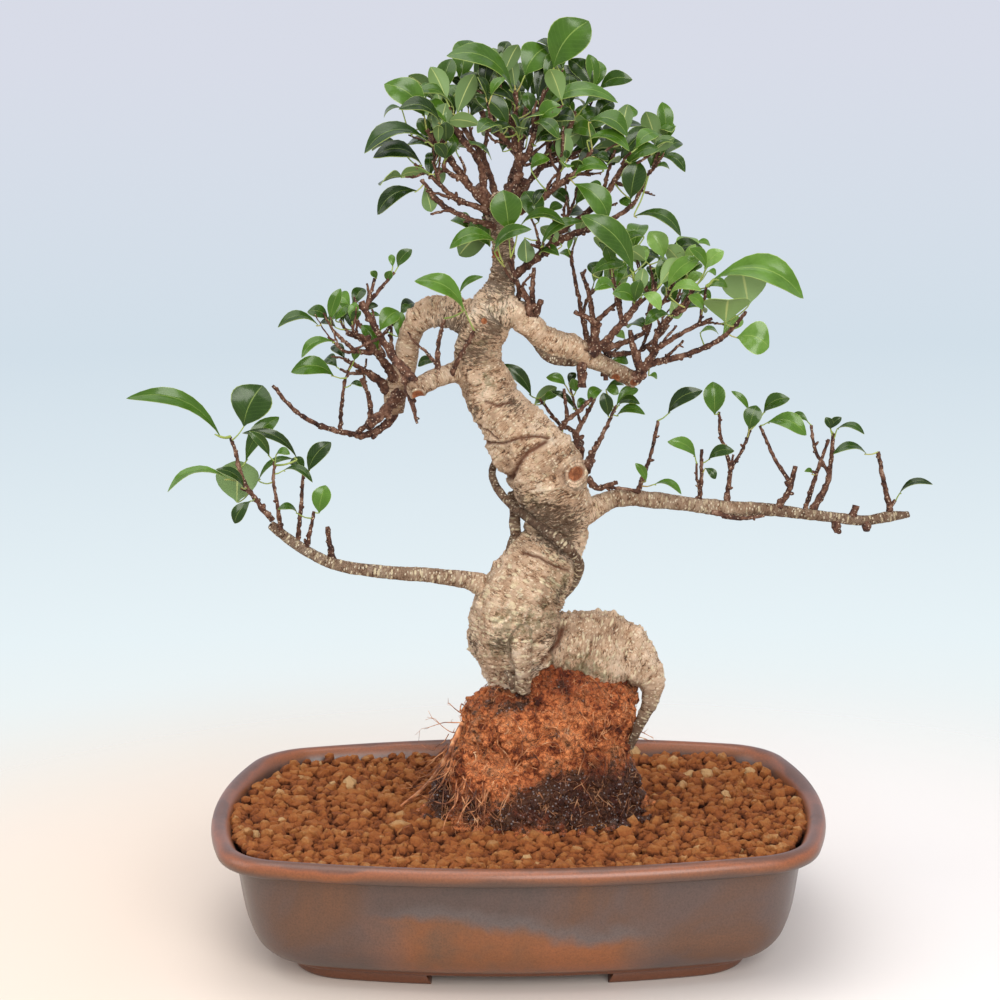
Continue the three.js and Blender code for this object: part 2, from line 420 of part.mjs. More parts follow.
// Leafy stems. Each twig is a line of x, y, z and radius. Each leaf has the foot and the tip of its
// blade, its width, and its lift: 0 faces the front, 1 faces up, below 0 shows its underside.
const sprays = {
  crown_far_left_low: {
    twigs: [
      [
        [-25, -6, 422, 2.3], [-35, -10, 427, 2], [-43, -13, 433, 1.8], [-47, -15, 440, 1.6],
        [-51, -16, 444, 1.5],
      ],
    ],
    leaves: [
      [[-53, -16, 438], [-75, -24, 426], 10, 0.3], [[-49, -10, 440], [-45, -14, 426], 9, -0.2],
    ],
  },
  crown_far_left: {
    twigs: [
      [
        [-27, -6, 431, 2.7], [-33, -8, 434, 2.3], [-40, -12, 441, 1.9], [-45, -15, 446, 1.6],
        [-54, -18, 453, 1.2],
      ],
      [[-40, -12, 441, 1.5], [-42, -18, 448, 1.2], [-44, -21, 455, 1]],
    ],
    leaves: [
      [[-50, -18, 452], [-76, -28, 458], 14, 0.5], [[-46, -20, 465], [-81, -32, 461], 16, 0.6],
      [[-63, -10, 463], [-78, -14, 461], 9, 0.6], [[-43, -8, 460], [-61, -6, 462], 13, 0.6],
      [[-46, -8, 445], [-46, -6, 458], 6, 0.1], [[-40, -8, 440], [-41, -6, 451], 7, -0.1],
    ],
  },
  crown_left: {
    twigs: [
      [
        [-24, -6, 440, 3.4], [-31, -10, 450, 2.8], [-37, -14, 458, 2.3], [-42, -17, 465, 2],
        [-47, -19, 472, 1.7],
      ],
      [[-27, -9, 444, 2.2], [-34, -15, 447, 1.9], [-38, -20, 452, 1.6], [-37, -22, 455, 1.2]],
      [[-34, -12, 455, 1.8], [-41, -6, 460, 1.5], [-47, -2, 466, 1.2]],
    ],
    leaves: [
      [[-48, -22, 479], [-69, -30, 497], 16, 0.15], [[-39, -28, 475], [-61, -36, 484], 12, 0.5],
      [[-36, -22, 475], [-50, -18, 486], 11, 0.5], [[-47, -16, 468], [-51, -20, 478], 8, 0.1],
      [[-62, 0, 484], [-72, 2, 479], 8, 0.7], [[-37, -26, 456], [-42, -32, 464], 7, 0.1],
      [[-36, -27, 456], [-31, -33, 465], 7, 0.1], [[-36, -26, 465], [-36, -30, 476], 9, 0.1],
      [[-33, -12, 476], [-36, -10, 492], 8, 0.1], [[-44, -4, 449], [-47, 2, 459], 6, 0.1],
    ],
  },
  crown_left_top: {
    twigs: [
      [
        [-16, -3, 441, 3.4], [-17, -5, 450, 2.8], [-21, -9, 458, 2.4], [-28, -13, 466, 2],
        [-33, -16, 474, 1.8],
      ],
      [[-20, -8, 456, 2.2], [-29, 0, 470, 1.8], [-37, 4, 480, 1.4]],
    ],
    leaves: [
      [[-39, 0, 490], [-33, 4, 511], 11, 0.05], [[-48, 4, 489], [-48, 8, 498], 6, 0.05],
      [[-32, -20, 484], [-53, -28, 492], 10, 0.6], [[-30, -22, 480], [-20, -26, 502], 11, -0.1],
      [[-28, 6, 497], [-23, 8, 522], 15, 0.1], [[-40, 8, 484], [-42, 14, 493], 7, -0.1],
    ],
  },
  crown_left_back: {
    twigs: [
      [[-12, 12, 444, 3.2], [-18, 16, 459, 2.6], [-25, 18, 469, 2.2], [-29, 20, 476, 1.8]],
      [[-16, 14, 454, 2], [-14, 24, 472, 1.6], [-18, 30, 486, 1.3]],
      [[-21, 17, 462, 1.8], [-32, 30, 465, 1.5], [-41, 38, 470, 1.2]],
    ],
    leaves: [
      [[-23, 12, 478], [-10, 10, 487], 8, 0.3], [[-28, 26, 481], [-35, 32, 497], 9, 0.2],
      [[-14, 24, 492], [-16, 22, 505], 9, 0.1], [[-15, 34, 489], [-6, 40, 503], 10, 0.3],
      [[-20, 32, 490], [-30, 38, 504], 10, 0.3], [[-38, 38, 473], [-51, 46, 483], 12, 0.5],
      [[-43, 40, 466], [-58, 50, 469], 13, 0.7], [[-32, 34, 466], [-39, 44, 477], 8, 0.2],
    ],
  },
  crown_centre: {
    twigs: [
      [[3, -4, 443, 4], [4, -5, 454, 3.4], [2, -6, 465, 3], [2, -7, 478, 2.5], [3, -8, 492, 1.9]],
      [[4, -4, 450, 3], [9, -6, 457, 2.8], [12, -8, 466, 2.3], [15, -9, 479, 1.8], [19, -10, 493, 1.4]],
      [[3, -6, 460, 2.2], [-4, -14, 466, 1.9], [-10, -20, 472, 1.5]],
      [[2, -6, 472, 2], [-5, -12, 481, 1.7], [-10, -16, 488, 1.3]],
    ],
    leaves: [
      [[1, -12, 492], [-34, -26, 513], 16, 0.45], [[-5, -4, 510], [-1, -2, 520], 8, 0.05],
      [[8, -6, 501], [21, -2, 517], 18, 0.05], [[2, 0, 502], [0, 2, 514], 6, 0.05],
      [[15, -4, 487], [24, 2, 514], 11, 0.05], [[24, -14, 505], [43, -20, 530], 23, 0.1],
      [[20, -10, 497], [25, -8, 515], 7, 0.1], [[23, -6, 514], [15, -2, 520], 6, 0.6],
      [[2, -12, 485], [-17, -16, 495], 12, 0.45], [[-2, -16, 472], [-19, -22, 490], 12, 0.3],
      [[3, -22, 469], [-11, -30, 470], 11, 0.7], [[-5, -26, 470], [-18, -34, 471], 11, 0.6],
      [[-5, -4, 459], [-2, 0, 470], 7, 0.1], [[13, -20, 475], [26, -30, 467], 8, 0.4],
      [[16, -14, 475], [28, -18, 484], 11, 0.2], [[13, -14, 462], [27, -22, 467], 12, 0.5],
      [[5, 0, 484], [-3, 6, 492], 9, 0.3], [[11, 6, 481], [9, 8, 492], 8, 0.1],
      [[9, 4, 467], [3, 8, 477], 9, 0.2], [[20, 8, 480], [11, 12, 487], 9, 0.5],
      [[-6, -4, 488], [-9, -2, 498], 8, 0.2],
    ],
  },
  crown_back: {
    twigs: [
      [[1, 18, 446, 3.2], [5, 24, 459, 2.6], [7, 30, 474, 2.2], [10, 34, 489, 1.6]],
      [[4, 22, 455, 2.2], [-4, 34, 465, 1.8], [-9, 42, 476, 1.4]],
      [[6, 26, 465, 2], [17, 36, 476, 1.7], [24, 42, 487, 1.3]],
      [[3, 20, 450, 2], [5, 38, 459, 1.7], [6, 50, 470, 1.3]],
    ],
    leaves: [
      [[10, 34, 492], [5, 36, 509], 10, 0.1], [[12, 36, 489], [22, 40, 501], 9, 0.2],
      [[-9, 42, 479], [-18, 50, 493], 10, 0.2], [[-6, 44, 474], [-2, 52, 489], 8, 0.1],
      [[24, 42, 490], [36, 50, 501], 11, 0.3], [[22, 44, 485], [15, 52, 498], 9, 0.1],
      [[6, 50, 474], [1, 60, 488], 10, 0.3], [[8, 52, 470], [21, 64, 479], 11, 0.4],
      [[4, 50, 465], [-8, 64, 470], 11, 0.5], [[-2, 38, 465], [-16, 50, 468], 14, 0.6],
      [[17, 40, 474], [30, 52, 477], 13, 0.6], [[26, 44, 484], [43, 54, 485], 14, 0.6],
    ],
  },
  crown_right: {
    twigs: [
      [[12, 8, 444, 3.2], [20, 8, 454, 2.6], [28, 6, 465, 2.1], [34, 4, 474, 1.8], [36, 2, 481, 1.6]],
      [[20, 8, 454, 2], [21, 8, 464, 1.8], [21, 8, 473, 1.4]],
      [[28, 6, 465, 1.8], [39, 10, 470, 1.5], [47, 12, 477, 1.2]],
      [[16, 8, 449, 2], [28, 14, 454, 1.8], [42, 20, 459, 1.5]],
    ],
    leaves: [
      [[21, 4, 487], [30, 8, 505], 10, 0.05], [[33, -2, 484], [33, 0, 501], 10, 0.05],
      [[46, 8, 493], [33, 10, 510], 11, 0.1], [[48, 12, 494], [50, 14, 509], 11, 0.05],
      [[17, -8, 479], [59, -18, 487], 12, 0.5], [[41, 0, 483], [59, 2, 488], 9, 0.5],
      [[48, 4, 476], [58, 8, 486], 10, 0.1], [[62, 14, 475], [72, 18, 481], 9, 0.2],
      [[44, 2, 470], [53, -2, 475], 8, 0.4], [[35, 10, 477], [28, 14, 486], 9, 0.3],
      [[25, 12, 469], [19, 14, 481], 9, 0.1], [[37, 14, 465], [31, 18, 476], 9, 0.2],
      [[51, 16, 471], [44, 20, 483], 9, 0.2], [[41, 8, 459], [37, 6, 472], 9, 0.1],
      [[45, 4, 459], [47, 2, 471], 9, 0.1], [[53, 12, 463], [79, 20, 470], 9, 0.6],
      [[51, 22, 461], [63, 28, 469], 9, 0.3], [[31, 8, 489], [26, 14, 481], 7, 0.3],
    ],
  },
  crown_right_front: {
    twigs: [
      [
        [15, -9, 431, 2.9], [21, -11, 436, 2.4], [28, -14, 442, 2.1], [37, -17, 449, 1.9],
        [45, -20, 460, 1.7],
      ],
      [[25, -12, 440, 1.8], [28, -14, 454, 1.5], [29, -14, 473, 1.2]],
      [[33, -15, 446, 1.7], [42, -10, 447, 1.5], [50, -8, 454, 1.3]],
    ],
    leaves: [
      [[43, -24, 475], [64, -32, 468], 13, 0.5], [[42, -28, 465], [65, -36, 460], 9, 0.5],
      [[35, -20, 445], [53, -26, 450], 9, 0.4], [[35, -20, 441], [54, -26, 422], 14, 0.2],
      [[11, -14, 449], [21, -18, 455], 8, 0.4], [[19, -18, 438], [12, -24, 430], 5, 0.3],
    ],
  },
  crown_right_end: {
    twigs: [
      [[41, 4, 423, 2.8], [51, 1, 431, 2.5], [58, -3, 442, 2.2], [64, -7, 452, 1.8]],
      [[51, 2, 431, 1.9], [54, 7, 444, 1.6], [59, 10, 459, 1.3]],
      [[57, -2, 441, 1.6], [68, 6, 439, 1.3], [73, 10, 442, 1.1]],
    ],
    leaves: [
      [[63, -8, 455], [80, -6, 470], 12, 0.2], [[66, -14, 452], [82, -18, 460], 9, 0.3],
      [[67, -8, 432], [71, -10, 453], 14, 0.1], [[57, 14, 459], [51, 20, 468], 8, 0.2],
      [[62, 16, 453], [74, 26, 458], 10, 0.4], [[50, -6, 434], [43, -12, 440], 8, 0.3],
    ],
  },
  crown_right_tip: {
    twigs: [
      [[78, 5, 446, 2], [80, 5, 448, 1.6], [81, 6, 449, 1.2]],
    ],
    leaves: [
      [[79, 8, 449], [85, 10, 462], 10, 0.1], [[69, -6, 422], [95, -14, 412], 9, 0.5],
      [[84, 8, 455], [98, 6, 447], 7, 0.4],
    ],
  },
  crown_low_front: {
    twigs: [
      [[1, -5, 372, 2.6], [4, -7, 380, 2.1], [2, -12, 388, 1.6], [-1, -14, 400, 1.4]],
    ],
    leaves: [
      [[-2, -22, 416], [-5, -26, 438], 18, 0.05], [[-9, -18, 409], [-35, -24, 407], 10, 0.4],
      [[-10, -20, 404], [10, -28, 417], 8, 0.3], [[4, -18, 417], [29, -26, 420], 10, 0.6],
    ],
  },
  crown_low_right: {
    twigs: [
      [[20, -5, 402, 2.6], [16, -12, 405, 1.8], [14, -16, 409, 1.3]],
    ],
    leaves: [
      [[15, -18, 420], [7, -22, 437], 13, 0.05], [[7, -10, 411], [8, -12, 397], 10, -0.1],
      [[16, -20, 406], [39, -24, 421], 7, 0.4], [[28, -4, 406], [16, 0, 417], 8, -0.1],
      [[15, -16, 402], [26, -22, 402], 7, 0.5],
    ],
  },
  crown_low_back: {
    twigs: [
      [[-11, 6, 417, 3], [-17, 14, 417, 2], [-22, 20, 414, 1.5]],
    ],
    leaves: [
      [[-10, 18, 417], [-31, 14, 400], 16, -0.1], [[-13, 14, 405], [-24, 22, 419], 12, 0.1],
      [[-24, 24, 413], [-35, 34, 420], 10, 0.4], [[-16, 26, 416], [-9, 40, 427], 9, 0.3],
      [[-18, 26, 408], [-5, 36, 400], 13, 0.5],
    ],
  },
  crown_under_right: {
    twigs: [
      [[22, -4, 407, 2.6], [29, 10, 416, 1.9], [34, 18, 426, 1.5]],
    ],
    leaves: [
      [[33, 20, 427], [23, 24, 436], 8, 0.2], [[37, 22, 428], [46, 28, 438], 10, 0.3],
      [[32, 24, 421], [45, 36, 417], 13, 0.5], [[25, 12, 413], [36, 22, 408], 11, 0.5],
    ],
  },
  right_back: {
    twigs: [
      [[43, 6, 348, 2.6], [38, 6, 374, 1.7], [33, 4, 400, 1.4]],
      [[40, 6, 365, 1.6], [43, 16, 374, 1.4], [51, 22, 382, 1.2]],
    ],
    leaves: [
      [[51, 24, 383], [45, 30, 394], 9, 0.2], [[53, 24, 384], [64, 32, 392], 10, 0.4],
      [[35, 8, 396], [27, 14, 401], 5, 0.4],
    ],
  },
  right_front: {
    twigs: [
      [[62, -10, 362, 3.3], [68, -12, 370, 2.8], [73, -13, 376, 2.2]],
      [[62, -10, 362, 2], [58, -8, 381, 1.7], [55, -8, 396, 1.3]],
      [[68, -13, 370, 1.7], [69, -18, 379, 1.4], [68, -22, 387, 1.1]],
    ],
    leaves: [
      [[67, -26, 392], [39, -38, 424], 15, 0.2], [[59, -6, 399], [46, -8, 411], 7, -0.2],
      [[45, -12, 390], [63, -14, 396], 8, 0.2], [[58, -20, 381], [46, -28, 383], 10, 0.5],
      [[68, -24, 375], [56, -32, 381], 11, 0.3], [[68, -24, 375], [71, -28, 388], 8, 0.1],
      [[72, -10, 379], [74, -8, 393], 8, -0.1], [[72, -22, 379], [82, -32, 372], 8, 0.5],
      [[75, 2, 410], [63, -2, 407], 6, 0.5], [[76, 2, 396], [74, 6, 405], 6, 0.1],
    ],
  },
  right_middle: {
    twigs: [
      [[76, 8, 355, 2.4], [79, 10, 371, 1.9], [82, 10, 384, 1.5]],
      [[78, 9, 362, 2], [86, 4, 373, 1.7], [90, 0, 380, 1.4]],
      [[80, 10, 373, 1.6], [76, 20, 381, 1.4], [74, 26, 390, 1.1]],
    ],
    leaves: [
      [[86, 4, 398], [78, 2, 413], 12, 0.15], [[89, 8, 396], [108, 4, 404], 10, 0.4],
      [[87, -6, 382], [84, -10, 398], 10, 0.05], [[88, -8, 382], [105, -12, 399], 10, 0.15],
      [[90, 2, 377], [101, 4, 389], 9, 0.1], [[85, 12, 396], [76, 16, 398], 6, 0.4],
      [[83, 14, 381], [78, 18, 392], 5, 0.1], [[84, 16, 387], [92, 26, 394], 8, 0.3],
      [[74, 28, 392], [66, 36, 399], 9, 0.3], [[75, 30, 389], [84, 38, 400], 9, 0.3],
      [[72, 28, 385], [62, 38, 385], 10, 0.5], [[105, 12, 405], [114, 16, 404], 4, 0.3],
    ],
  },
  right_upper: {
    twigs: [
      [[80, 9, 342, 2.6], [84, 2, 358, 2.3], [96, -10, 372, 1.9], [104, -14, 384, 1.4]],
      [[90, -8, 366, 1.7], [97, -14, 370, 1.5], [100, -16, 375, 1.2]],
    ],
    leaves: [
      [[109, -16, 393], [118, -20, 403], 9, 0.2], [[108, -16, 393], [99, -20, 405], 7, 0.3],
      [[100, -6, 382], [107, -8, 390], 7, 0.5], [[88, -18, 378], [105, -26, 382], 8, 0.5],
      [[88, -18, 367], [74, -26, 363], 7, 0.3], [[90, -6, 374], [94, -8, 364], 8, -0.1],
      [[111, -8, 382], [122, -6, 382], 7, 0.4],
    ],
  },
  right_big_leaf: {
    twigs: [
      [[81, -1, 346, 2.3], [97, -5, 356, 1.9], [109, -6, 362, 1.7], [113, -8, 364, 1.5]],
      [[106, -5, 361, 1.5], [108, -12, 375, 1.2], [109, -16, 383, 1]],
    ],
    leaves: [
      [[113, -18, 387], [162, -30, 378], 18, 0.35], [[134, -4, 371], [130, -2, 392], 26, -0.1],
      [[107, -14, 369], [99, -20, 378], 7, 0.3],
    ],
  },
  right_tip: {
    twigs: [
      [
        [78, 5, 337, 3.2], [100, 1, 343, 2.4], [118, -5, 352, 2], [126, -8, 360, 1.7],
        [132, -10, 368, 1.4],
      ],
      [[87, 4, 340, 1.5], [97, -2, 351, 1.1]],
    ],
    leaves: [
      [[120, -16, 362], [120, -30, 377], 26, -0.3], [[127, -8, 353], [145, -12, 348], 19, 0.05],
      [[120, 2, 354], [132, 6, 362], 9, 0.1], [[107, 2, 355], [118, 6, 354], 5, 0.6],
    ],
  },
  right_behind: {
    twigs: [
      [[53, 8, 342, 3], [62, 16, 342, 2.2], [74, 22, 343, 1.8], [86, 28, 353, 1.5], [95, 32, 364, 1.3]],
      [[74, 22, 343, 1.6], [80, 32, 356, 1.3], [81, 36, 369, 1.1]],
    ],
    leaves: [
      [[56, 18, 337], [67, 22, 336], 6, 0.1], [[98, 32, 368], [111, 40, 377], 10, 0.3],
      [[94, 32, 369], [89, 38, 380], 10, 0.2], [[83, 38, 371], [73, 46, 378], 10, 0.4],
      [[82, 38, 372], [88, 46, 385], 9, 0.2], [[98, 36, 364], [114, 46, 363], 14, 0.6],
      [[78, 32, 354], [68, 44, 355], 11, 0.6],
    ],
  },
  left_knob: {
    twigs: [
      [[-69, -9, 344, 3.1], [-77, -8, 358, 2.7], [-83, -9, 369, 2.5], [-86, -9, 376, 3.4]],
      [[-83, -9, 372, 1.9], [-80, -9, 382, 1.5], [-78, -9, 389, 1.2]],
      [[-83, -8, 374, 1.7], [-74, -7, 384, 1.4], [-67, -6, 392, 1.2]],
    ],
    leaves: [
      [[-65, -6, 395], [-57, -8, 405], 7, 0.05],
    ],
  },
  left_fan: {
    twigs: [
      [[-81, 1, 348, 4.2], [-87, -4, 355, 3.2], [-95, -8, 358, 1.9]],
      [[-81, 0, 346, 2.8], [-90, -8, 348, 2.1], [-94, -12, 352, 1.8], [-102, -15, 360, 1.3]],
      [[-87, -4, 354, 1.8], [-90, -12, 359, 1.4], [-91, -14, 363, 1.1]],
      [[-89, -7, 348, 1.6], [-95, -16, 348, 1.3], [-100, -20, 353, 1]],
      [[-93, -7, 357, 1.5], [-97, -2, 361, 1.2], [-99, 0, 365, 1]],
    ],
    leaves: [
      [[-110, -16, 363], [-132, -24, 364], 8, 0.55], [[-105, -10, 366], [-116, -14, 371], 8, 0.3],
      [[-103, -16, 366], [-97, -18, 384], 7, 0.05], [[-101, -6, 365], [-94, -4, 374], 8, 0.1],
      [[-91, -12, 365], [-89, -10, 376], 6, 0.1], [[-101, -20, 354], [-119, -28, 347], 7, 0.5],
      [[-97, 4, 363], [-104, 12, 373], 8, 0.2], [[-92, 2, 359], [-96, 4, 373], 7, 0.1],
    ],
  },
  left_back: {
    twigs: [
      [[-75, 10, 342, 3], [-79, 14, 351, 2.2], [-78, 14, 357, 1.6]],
      [[-79, 14, 349, 1.7], [-88, 22, 358, 1.5], [-94, 28, 367, 1.2]],
      [[-78, 14, 351, 1.6], [-71, 26, 359, 1.4], [-67, 30, 363, 1.2]],
    ],
    leaves: [
      [[-78, 6, 347], [-87, 4, 361], 8, 0.05], [[-77, 12, 357], [-66, 18, 368], 11, 0.1],
      [[-66, 28, 357], [-71, 30, 366], 7, 0.1], [[-67, 20, 353], [-65, 24, 367], 7, 0.05],
      [[-95, 30, 369], [-104, 38, 375], 9, 0.3], [[-93, 30, 370], [-87, 36, 380], 8, 0.2],
      [[-95, 32, 364], [-108, 42, 363], 12, 0.6], [[-66, 34, 364], [-56, 44, 369], 10, 0.4],
    ],
  },
  left_low_fan: {
    twigs: [
      [[-83, 10, 332, 2.8], [-88, 6, 336, 2.1], [-97, 2, 342, 1.4]],
      [[-86, 8, 334, 1.8], [-94, 16, 332, 1.4], [-101, 22, 334, 1.1]],
    ],
    leaves: [
      [[-97, 4, 342], [-105, 10, 349], 7, 0.3], [[-103, 24, 335], [-112, 32, 338], 9, 0.4],
    ],
  },
  left_low_shoot: {
    twigs: [
      [
        [-88, 10, 296, 2.5], [-95, 8, 298, 2.4], [-103, 6, 300, 2.2], [-113, 3, 304, 2],
        [-126, -1, 313, 1.8], [-138, -5, 328, 1.5],
      ],
      [[-101, 7, 299, 1.9], [-99, 4, 318, 1.5], [-97, 2, 329, 1.1], [-93, 0, 340, 0.9]],
      [[-93, 9, 297, 2.2], [-84, 12, 305, 2.2], [-84, 11, 319, 2.1], [-88, 8, 330, 1.8]],
    ],
    leaves: [
      [[-103, -4, 333], [-126, -14, 337], 11, 0.2],
    ],
  },
  left_middle: {
    twigs: [
      [[-43, -12, 332, 2.8], [-43, -10, 348, 1.9], [-39, -12, 366, 1.4]],
      [[-43, -11, 339, 1.7], [-50, -8, 347, 1.4], [-54, -6, 350, 1.1]],
    ],
    leaves: [
      [[-28, -18, 371], [-54, -28, 389], 12, 0.35], [[-44, -2, 340], [-55, 0, 338], 6, 0.3],
    ],
  },
  left_middle_right: {
    twigs: [
      [[-36, -8, 333, 2.6], [-29, -12, 347, 1.8], [-22, -13, 359, 1.4]],
    ],
    leaves: [
      [[-30, -14, 380], [-17, -18, 390], 4, 0.3],
    ],
  },
  low_left_tip: {
    twigs: [
      [
        [-139, -17, 252, 2.7], [-142, -18, 256, 2.4], [-147, -18, 263, 2.3], [-153, -17, 271, 2.1],
        [-157, -16, 281, 1.9], [-159, -15, 291, 1.6], [-162, -14, 300, 1.2],
      ],
    ],
    leaves: [
      [[-167, -20, 301], [-216, -36, 326], 10, 0.3], [[-154, -14, 306], [-143, -12, 329], 24, 0.02],
      [[-154, -10, 285], [-135, -4, 310], 10, 0.1], [[-150, -28, 265], [-159, -32, 253], 8, 0.05],
      [[-162, -30, 278], [-195, -40, 274], 7, 0.6], [[-154, -26, 272], [-167, -38, 285], 6, 0.3],
      [[-160, -8, 261], [-160, 0, 284], 25, -0.05],
    ],
  },
  low_left_shoot_1: {
    twigs: [
      [[-134, -20, 247, 2.2], [-135, -25, 262, 1.6], [-137, -25, 277, 1.4], [-136, -23, 287, 1.2]],
    ],
    leaves: [
      [[-139, -24, 290], [-149, -30, 305], 6, 0.1], [[-124, -16, 287], [-153, -26, 304], 6, 0.3],
      [[-147, -10, 274], [-128, -4, 286], 4, 0.4], [[-131, -26, 282], [-114, -34, 277], 5, 0.5],
    ],
  },
  low_left_shoot_2: {
    twigs: [
      [[-125, -16, 238, 2.2], [-123, -14, 256, 1.7], [-121, -12, 279, 1.3]],
    ],
    leaves: [
      [[-121, -10, 278], [-128, -6, 286], 8, 0.1], [[-118, -12, 279], [-105, -12, 296], 10, 0.15],
    ],
  },
  low_left_shoot_3: {
    twigs: [
      [[-120, -17, 235, 2.2], [-117, -18, 247, 1.7], [-115, -18, 257, 1.4]],
    ],
    leaves: [
      [[-112, -18, 256], [-108, -18, 272], 11, 0.05], [[-124, -24, 257], [-134, -30, 261], 5, 0.5],
    ],
  },
  low_right_a: {
    twigs: [
      [[71, 11, 259, 2.4], [76, 9, 274, 1.8], [80, 8, 287, 1.5], [83, 6, 304, 1.3]],
    ],
    leaves: [
      [[89, 6, 308], [108, 0, 322], 9, 0.15], [[76, 4, 269], [70, 0, 280], 5, 0.1],
      [[81, 4, 267], [96, -4, 263], 5, 0.5],
    ],
  },
  low_right_b: {
    twigs: [
      [[108, 16, 254, 2.4], [109, 14, 270, 1.7], [109, 13, 286, 1.4]],
      [[108, 15, 262, 1.4], [106, 12, 270, 1.2], [106, 11, 278, 1]],
    ],
    leaves: [
      [[105, 10, 282], [89, 4, 292], 8, 0.2], [[113, 12, 280], [127, 6, 286], 7, 0.2],
    ],
  },
  low_right_c: {
    twigs: [
      [
        [124, 18, 251, 2.8], [125, 18, 262, 2.2], [126, 17, 273, 1.9], [123, 15, 285, 1.6],
        [120, 13, 294, 1.4], [119, 12, 308, 1.2],
      ],
      [[126, 17, 273, 1.8], [133, 19, 284, 1.5], [138, 20, 296, 1.3]],
      [[126, 17, 274, 1.5], [128, 18, 282, 1.1]],
    ],
    leaves: [
      [[116, 8, 307], [115, 8, 326], 13, 0.03], [[137, 22, 307], [127, 20, 319], 4, 0.1],
      [[137, 16, 297], [141, 16, 311], 11, 0.05], [[146, 22, 306], [160, 16, 315], 9, 0.25],
    ],
  },
  low_right_d: {
    twigs: [
      [[153, 20, 248, 3.2], [160, 18, 259, 2.6], [164, 16, 275, 2.1]],
      [[162, 18, 264, 2], [153, 21, 278, 1.6], [147, 23, 291, 1.4], [144, 24, 298, 1.2]],
    ],
    leaves: [
      [[148, 22, 300], [170, 14, 294], 11, 0.25],
    ],
  },
  low_right_e: {
    twigs: [
      [[175, 23, 247, 3.4], [184, 26, 263, 2.7], [186, 26, 275, 2], [187, 24, 293, 1.6]],
      [[185, 26, 269, 1.8], [177, 29, 283, 1.5], [175, 31, 297, 1.3]],
    ],
    leaves: [
      [[189, 22, 296], [204, 16, 294], 5, 0.5], [[173, 31, 299], [163, 34, 302], 5, 0.3],
    ],
  },
  low_right_e_front: {
    twigs: [
      [[171, 22, 249, 2.2], [177, 17, 272, 1.7], [183, 14, 291, 1.3]],
    ],
    leaves: [

    ],
  },
  low_right_f: {
    twigs: [
      [[222, 26, 244, 3], [217, 24, 264, 2.2], [213, 22, 282, 1.7]],
      [[221, 26, 248, 2], [224, 24, 253, 1.4]],
    ],
    leaves: [
      [[206, 20, 281], [186, 14, 283], 6, 0.5], [[226, 22, 257], [244, 16, 264], 5, 0.5],
    ],
  },
  middle_a: {
    twigs: [
      [[44, 15, 281, 2.8], [51, 19, 293, 2.1], [60, 23, 311, 1.4]],
    ],
    leaves: [
      [[55, 20, 305], [52, 18, 319], 8, 0.05], [[60, 24, 311], [73, 28, 320], 7, 0.15],
      [[61, 22, 311], [73, 16, 313], 6, 0.4], [[60, 20, 305], [76, 12, 307], 6, 0.4],
      [[54, 26, 320], [65, 32, 322], 4, 0.3],
    ],
  },
  middle_b: {
    twigs: [
      [[36, 18, 295, 2.2], [42, 17, 306, 1.7], [48, 15, 318, 1.2]],
      [[39, 17, 301, 1.4], [36, 18, 310, 1.2], [33, 18, 322, 0.9]],
    ],
    leaves: [
      [[51, 14, 321], [43, 8, 317], 7, 0.2], [[30, 16, 324], [19, 14, 329], 6, 0.1],
      [[35, 14, 310], [22, 12, 321], 4, 0.2],
    ],
  },
  middle_c: {
    twigs: [
      [[37, 16, 293, 2.4], [34, 20, 297, 1.9], [27, 24, 300, 1.7], [18, 28, 311, 1.3], [15, 28, 315, 1]],
    ],
    leaves: [
      [[10, 24, 317], [-7, 20, 336], 8, 0.15], [[12, 30, 311], [25, 34, 321], 8, -0.1],
    ],
  },
  middle_low: {
    twigs: [
      [[38, 14, 279, 2.6], [40, 26, 284, 1.6]],
    ],
    leaves: [
      [[40, 28, 283], [31, 34, 284], 7, 0.1],
    ],
  },
};

// Part of a direction that is square to an axis
function squareTo(direction, axis) {
  return direction.clone().addScaledVector(axis, -direction.dot(axis));
}

// A limb: round rings along a smooth line through points given as x, y, z and radius
function limb(points, sides, grow, step, relief = null) {
  const curve = new THREE.CatmullRomCurve3(
    points.map(([x, y, z]) => new THREE.Vector3(x, y, z)), false, 'centripetal');
  const spans = points.length - 1;
  const count = Math.max(1, Math.round(curve.getLength() / step));
  const start = curve.getTangent(0);
  const seed = Math.abs(start.y) < 0.8 ? new THREE.Vector3(0, 1, 0) : new THREE.Vector3(1, 0, 0);
  let aside = squareTo(seed, start).normalize();
  const rings = [];
  for (let ring = 0; ring <= count; ring += 1) {
    const place = curve.getUtoTmapping(ring / count);
    const span = Math.min(Math.floor(place * spans), spans - 1);
    const share = place * spans - span;
    const radius = points[span][3] * (1 - share) + points[span + 1][3] * share + grow;
    const middle = curve.getPoint(place);
    const along = curve.getTangent(place);
    aside = squareTo(aside, along).normalize();
    const across = along.clone().cross(aside);
    rings.push(Array.from({ length: sides }, (_, index) => {
      const turn = (index / sides) * Math.PI * 2;
      const reach = relief ? radius * relief(turn, middle.z) : radius;
      return middle.clone()
        .addScaledVector(aside, reach * Math.cos(turn))
        .addScaledVector(across, reach * Math.sin(turn));
    }));
  }
  return skin(rings);
}

// Flutes and swellings of old bark
function barkRelief(turn, height) {
  return 1 + 0.05 * Math.sin(turn * 3 + height * 0.05) + 0.03 * Math.sin(turn * 5 - height * 0.13);
}

